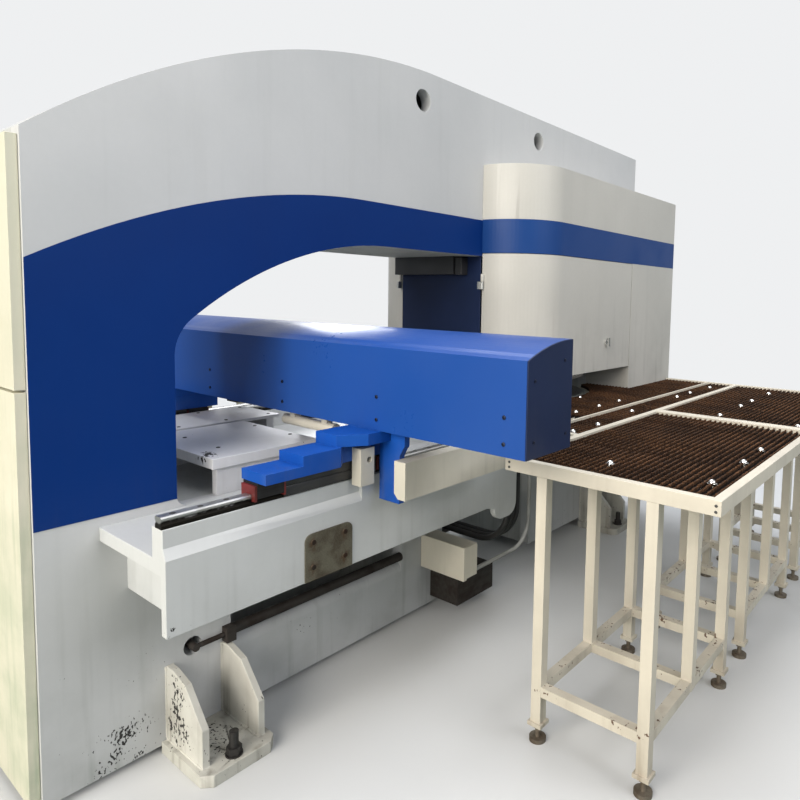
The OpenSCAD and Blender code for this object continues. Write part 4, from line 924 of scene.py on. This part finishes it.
@dataclass
class Fasteners:
    """Screws of the covers, pads and tables, rail caps and boots, and the weld beads of the foot brackets.

    Places are in the source's millimetres. A screw's radius and height and a bead's sizes are in metres.
    """

    short_cover: Rows = ((-118.0, 658.0), (131.0, 660.0), (-125.0, 982.0), (130.0, 984.0))
    long_cover: Rows = ((-582.0, 742.0), (-333.0, 742.0), (-585.0, 1190.0), (-335.0, 1190.0),
                        (-584.0, 966.0), (-334.0, 966.0))
    cover_top: float = 975.0
    cover_screw: tuple[float, float] = (0.008, 0.002)
    apron_x: tuple[float, float] = (1828.0, 1104.0)
    apron_z: tuple[float, float] = (986.0, 968.0)
    apron_y: float = 1206.0
    apron_screw: tuple[float, float] = (0.0045, 0.0015)
    pad_screw: tuple[float, float] = (0.0085, 0.002)
    pad_levels: tuple[float, float] = (673.0, 757.0)
    rail_reach: float = 383.0
    rail_top: float = 959.0
    rail_span: tuple[float, float] = (214.0, 1800.0)
    rail_pitch: float = 80.0
    rail_cap: tuple[float, float] = (0.0085, 0.00015)
    boot_span: tuple[float, float] = (556.0, 939.0)
    boot_walls: Rows = ((-33, 33, 963, 994), (-33, -21, 930, 963), (21, 33, 930, 963))
    feet: tuple[float, float] = (350.0, 3204.0)
    gusset_faces: tuple[float, ...] = (20.0, 44.0, 222.0, 246.0)
    upright_bead: tuple[float, ...] = (291.5, 46.0, 296.0)
    flat_bead: tuple[float, ...] = (296.0, 515.0, 41.5)
    bead_radius: float = 0.005
    ripple: float = 0.008
    seed: int = 5

    def covers(self) -> None:
        """Screws of the throat covers and the tables' corners."""
        screws = Workpiece("cover_plate_screws")
        for x, y in self.short_cover + self.long_cover:
            screws.screw(row(x, y, self.cover_top), Axis.Z, *self.cover_screw)
        for side in (1, -1):
            for x in self.apron_x:
                for z in self.apron_z:
                    screws.screw(row(side * x, self.apron_y, z), Axis.MINUS_Y, *self.apron_screw)
        dark = Metal("plate_screw", even(0.10), (0.04, 0.035, 0.03), even(200.0), 0.4, 0.4)
        screws.ride(dark.material(), Body.BASE)

    def pads(self) -> None:
        """Socket screws of the machined pads under the beds."""
        bolts = Workpiece("pad_screws")
        for side in (1, -1):
            for y in PAD_ROWS:
                for z in self.pad_levels:
                    bolts.screw(row(side * PAD_FACE, y, z), outward(side), *self.pad_screw)
        black = Metal("pad_screw", (0.030, 0.026, 0.022), (0.05, 0.022, 0.010), even(90.0), 0.55, 0.7, 0.6)
        bolts.ride(black.material(), Body.BASE)

    def rail_caps(self) -> None:
        """The caps over the bolts of the guide rails."""
        caps = Workpiece("rail_caps")
        count = int((self.rail_span[1] - self.rail_span[0]) / self.rail_pitch) + 1
        for side in (1, -1):
            for index in range(count):
                y = self.rail_span[0] + index * self.rail_pitch
                spot = row(side * (FRAME_SIDE + self.rail_reach), y, self.rail_top)
                caps.turned(spot, Axis.Z, *self.rail_cap)
        dull = Metal("cap_brass", (0.16, 0.15, 0.13), (0.06, 0.05, 0.04), even(120.0), 0.4, 0.5)
        caps.ride(dull.material(), Body.BASE)

    def bead(self, piece: Workpiece, start: Vector, end: Vector, rng: random.Random) -> None:
        """Lays one weld bead, ripple by ripple.

        Args:
            piece: the piece that takes it.
            start: where it starts.
            end: where it ends.
            rng: the source of its small differences.
        """
        way = end - start
        axis = Axis.Z if abs(way.z) > abs(way.x) else outward(1 if way.x > 0 else -1)
        steps = max(1, int(way.length / self.ripple))
        for index in range(steps):
            spot = start + way * (index / steps)
            wide = self.bead_radius * rng.uniform(0.85, 1.15)
            piece.turned(spot, axis, wide, way.length / steps * 1.2, 8, tip=wide * 0.8)

    def welds(self, material: Material) -> None:
        """Weld beads where the gussets of the foot brackets meet the frame and their plates.

        Args:
            material: the paint of the brackets.
        """
        rng = random.Random(self.seed)
        beads = Workpiece("foot_welds")
        for side in (1, -1):
            for foot in self.feet:
                for y in (foot + face for face in self.gusset_faces):
                    x, low, high = self.upright_bead
                    self.bead(beads, row(side * x, y, low), row(side * x, y, high), rng)
                    near, far, z = self.flat_bead
                    self.bead(beads, row(side * near, y, z), row(side * far, y, z), rng)
        beads.ride(material, Body.BASE)

    def boots(self) -> None:
        """Rubber boots over the rails, from one bearing block of a saddle to the next; their near-black rubber
        also stands for the shade under the saddles.
        """
        boots = Workpiece("rail_boots")
        middle = FRAME_SIDE + self.rail_reach
        front, back = self.boot_span
        for side in (1, -1):
            for near, far, low, high in self.boot_walls:
                left, right = sorted((side * (middle + near), side * (middle + far)))
                boots.block(row(left, front, low), row(right, back, high), 0.003)
        # Near-black rubber, partly painted shade under the saddles
        rubber = Moulded("boot_rubber_and_shade", (0.018, 0.018, 0.020), (0.035, 0.034, 0.034), 0.32)
        boots.ride(rubber.material(), Body.Y_CARRIAGE)

    def build(self, bracket_paint: Material) -> None:
        """Builds the parts.

        Args:
            bracket_paint: the paint of the foot brackets.
        """
        self.covers()
        self.pads()
        self.rail_caps()
        self.boots()
        self.welds(bracket_paint)


@dataclass
class Hoses:
    """The three hydraulic hoses that hang from the right bed's bracket and go back into the frame.

    The route is in the source's millimetres, and the radius in metres.
    """

    rows: tuple[float, ...] = (1862.0, 1902.0, 1942.0)
    drop: float = 640.0
    head: float = 915.0
    bend: float = 180.0
    low: float = 360.0
    end: float = 200.0
    radius: float = 0.014
    run_steps: int = 6
    bend_steps: int = 20

    def hose(self, name: str, points: list[Vector], material: Material) -> Object:
        """Args:
            name: its name.
            points: its middle line, in metres.
            material: its finish.

        Returns:
            The object.
        """
        curve = bpy.data.curves.new(name, "CURVE")
        curve.dimensions = "3D"
        curve.bevel_depth = self.radius
        curve.bevel_resolution = 5
        curve.use_fill_caps = True
        spline = curve.splines.new("POLY")
        spline.points.add(len(points) - 1)
        for spot, point in zip(spline.points, points):
            spot.co = (*point, 1.0)
        spline.use_smooth = True
        curve.materials.append(material)
        made = place_object(name, curve)
        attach(made, Body.BASE.value)
        return made

    def points(self, y: float) -> list[Vector]:
        """Lays the middle line of one hose.

        Args:
            y: its row, in mm from the cabinet end.

        Returns:
            The points in metres.
        """
        reach, height, count = self.drop - self.bend, self.low + self.bend, self.run_steps
        points = [row(self.drop, y, self.head + (height - self.head) * i / count) for i in range(count)]
        for step in range(self.bend_steps + 1):
            turn = math.radians(90.0 * step / self.bend_steps)
            points.append(row(reach + self.bend * math.cos(turn), y, height - self.bend * math.sin(turn)))
        for step in range(1, count + 1):
            points.append(row(reach + (self.end - reach) * step / count, y, self.low))
        return points

    def build(self) -> None:
        """Builds the hoses in place of their plain solids."""
        rubber = Moulded("hose_rubber", (0.016, 0.016, 0.017), (0.028, 0.027, 0.026), 0.5).material()
        for index, y in enumerate(self.rows, 1):
            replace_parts(self.hose(f"hose_{index}", self.points(y), rubber), "hoses")


@dataclass(frozen=True)
class Lamp:
    """A soft lamp: its place and aim, its width and height in metres, its power in watts and its colour."""

    name: str
    spot: Triple
    aim: Triple
    size: tuple[float, float]
    power: float
    colour: Triple

    def hang(self) -> None:
        """Hangs the lamp, unseen by the camera."""
        data = bpy.data.lights.new(self.name, "AREA")
        data.shape = "RECTANGLE"
        data.size, data.size_y = self.size
        data.energy = self.power
        data.color = self.colour
        lamp = place_object(self.name, data)
        lamp.visible_camera = False
        lamp.location = self.spot
        lamp.rotation_euler = (Vector(self.aim) - Vector(self.spot)).to_track_quat("-Z", "Y").to_euler()


@dataclass
class Scenery:
    """The plain floor, the soft lamps, the pale world and the camera of the photograph.

    Lengths are in metres, turns in degrees and the lens in millimetres.
    """

    place: Triple = (2.388, -2.563, 1.571)
    heading: float = 38.019
    pitch: float = 4.55
    roll: float = -1.141
    lens: float = 28.83
    shift: tuple[float, float] = (-0.098, -0.0663)
    pale: Triple = (0.86, 0.87, 0.88)
    gentle: Triple = (0.84, 0.90, 1.0)
    gentle_strength: float = 0.33
    glossy_share: float = 0.45
    floor_reach: float = 60.0
    floor_fade: tuple[float, float] = (3.2, 9.0)
    floor_bounce: Triple = (0.17, 0.20, 0.18)
    lamps: tuple[Lamp, ...] = (
        Lamp("front_window", (1.6, -9.0, 4.6), (0.0, 0.0, 1.3), (8.0, 4.0), 1000.0, (1.0, 0.94, 0.85)),
        Lamp("side_fill", (8.5, 0.5, 5.5), (0.3, 0.3, 1.6), (6.0, 4.0), 330.0, (0.97, 0.97, 1.0)),
        Lamp("roof_light", (0.0, 0.5, 8.0), (0.0, 0.3, 1.0), (6.0, 8.0), 600.0, (0.97, 0.98, 1.0)),
        Lamp("low_front", (0.85, -5.5, 0.6), (0.6, -0.2, 0.35), (1.0, 0.6), 40.0, (1.0, 0.95, 0.86)),
        Lamp("far_window", (-6.5, 7.0, 4.6), (0.0, 0.0, 1.2), (6.0, 2.5), 420.0, (0.97, 0.98, 1.0)))

    def camera(self) -> None:
        """Makes the camera at the photograph's own angle."""
        a, p, r = (math.radians(v) for v in (self.heading, self.pitch, self.roll))
        forward = Vector((-math.sin(a) * math.cos(p), math.cos(a) * math.cos(p), -math.sin(p)))
        level = Vector((math.cos(a), math.sin(a), 0.0))
        down = forward.cross(level)
        right = level * math.cos(r) + down * math.sin(r)
        below = down * math.cos(r) - level * math.sin(r)
        data = bpy.data.cameras.new("photo_camera")
        data.lens = self.lens
        data.sensor_width = 36.0
        data.shift_x, data.shift_y = self.shift
        data.clip_start, data.clip_end = 0.05, 200.0
        camera = place_object("photo_camera", data)
        turn = Matrix((right, -below, -forward)).transposed().to_4x4()
        camera.matrix_world = Matrix.Translation(self.place) @ turn
        bpy.context.scene.camera = camera

    def world(self) -> None:
        """Makes the pale world: bright to the camera, gentle on the object."""
        world = bpy.data.worlds.new("pale_hall")
        world.use_nodes = True
        bpy.context.scene.world = world
        tree = Tree(world.node_tree)
        world.node_tree.nodes.clear()
        path = tree.add("ShaderNodeLightPath")
        seen = tree.maths("ADD", path.outputs["Is Camera Ray"], path.outputs["Is Transmission Ray"], True)
        seen = tree.maths("ADD", seen,
                          tree.maths("MULTIPLY", path.outputs["Is Glossy Ray"], self.glossy_share), True)
        gentle = tree.add("ShaderNodeBackground",
                          {"Color": rgba(self.gentle), "Strength": self.gentle_strength})
        pale = tree.add("ShaderNodeBackground", {"Color": rgba(self.pale), "Strength": 1.0})
        blend = tree.add("ShaderNodeMixShader", {0: seen, 1: gentle.outputs[0], 2: pale.outputs[0]})
        tree.add("ShaderNodeOutputWorld", {"Surface": blend.outputs[0]})

    def floor(self) -> None:
        """Makes the plain floor: pale to the camera, darker to the light that it throws back."""
        mesh = bmesh.new()
        bmesh.ops.create_grid(mesh, x_segments=1, y_segments=1, size=self.floor_reach)
        data = bpy.data.meshes.new("floor")
        mesh.to_mesh(data)
        mesh.free()
        tree, shader, place, material = principled("pale_floor")
        cloud = tree.span(tree.noise(place, 0.8, 3.0), 0.3, 0.7)
        shown = tree.mix(cloud, rgba((0.60, 0.61, 0.615)), rgba((0.64, 0.645, 0.645)))
        direct = tree.add("ShaderNodeLightPath").outputs["Is Camera Ray"]
        colour = tree.mix(direct, rgba(self.floor_bounce), shown)
        tree.feed(shader, {"Base Color": colour, "Roughness": 0.55})
        far = tree.maths("MULTIPLY", tree.span(tree.length(place), *self.floor_fade), direct)
        glow = tree.add("ShaderNodeEmission", {"Color": rgba(self.pale), "Strength": 1.0})
        blend = tree.add("ShaderNodeMixShader", {0: far, 1: shader.outputs[0], 2: glow.outputs[0]})
        tree.feed(material.node_tree.nodes["Material Output"], {"Surface": blend.outputs[0]})
        data.materials.append(material)
        place_object("floor", data)

    def build(self) -> None:
        """Sets the stage."""
        scene = bpy.context.scene
        scene.view_settings.view_transform = "Standard"
        self.camera()
        self.world()
        self.floor()
        for lamp in self.lamps:
            lamp.hang()


def main() -> None:
    """Builds the dressed machine and its stage."""
    logging.basicConfig(level=logging.INFO, format="%(name)s: %(message)s")
    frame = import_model()
    Scenery().build()
    paintwork = Paintwork()
    paintwork.apply(frame["nodes"])
    BrushTables().build(frame["nodes"])
    CrossBeam().build()
    Fasteners().build(paintwork.made["foot_paint"])
    Hoses().build()


if __name__ == "__main__":
    main()
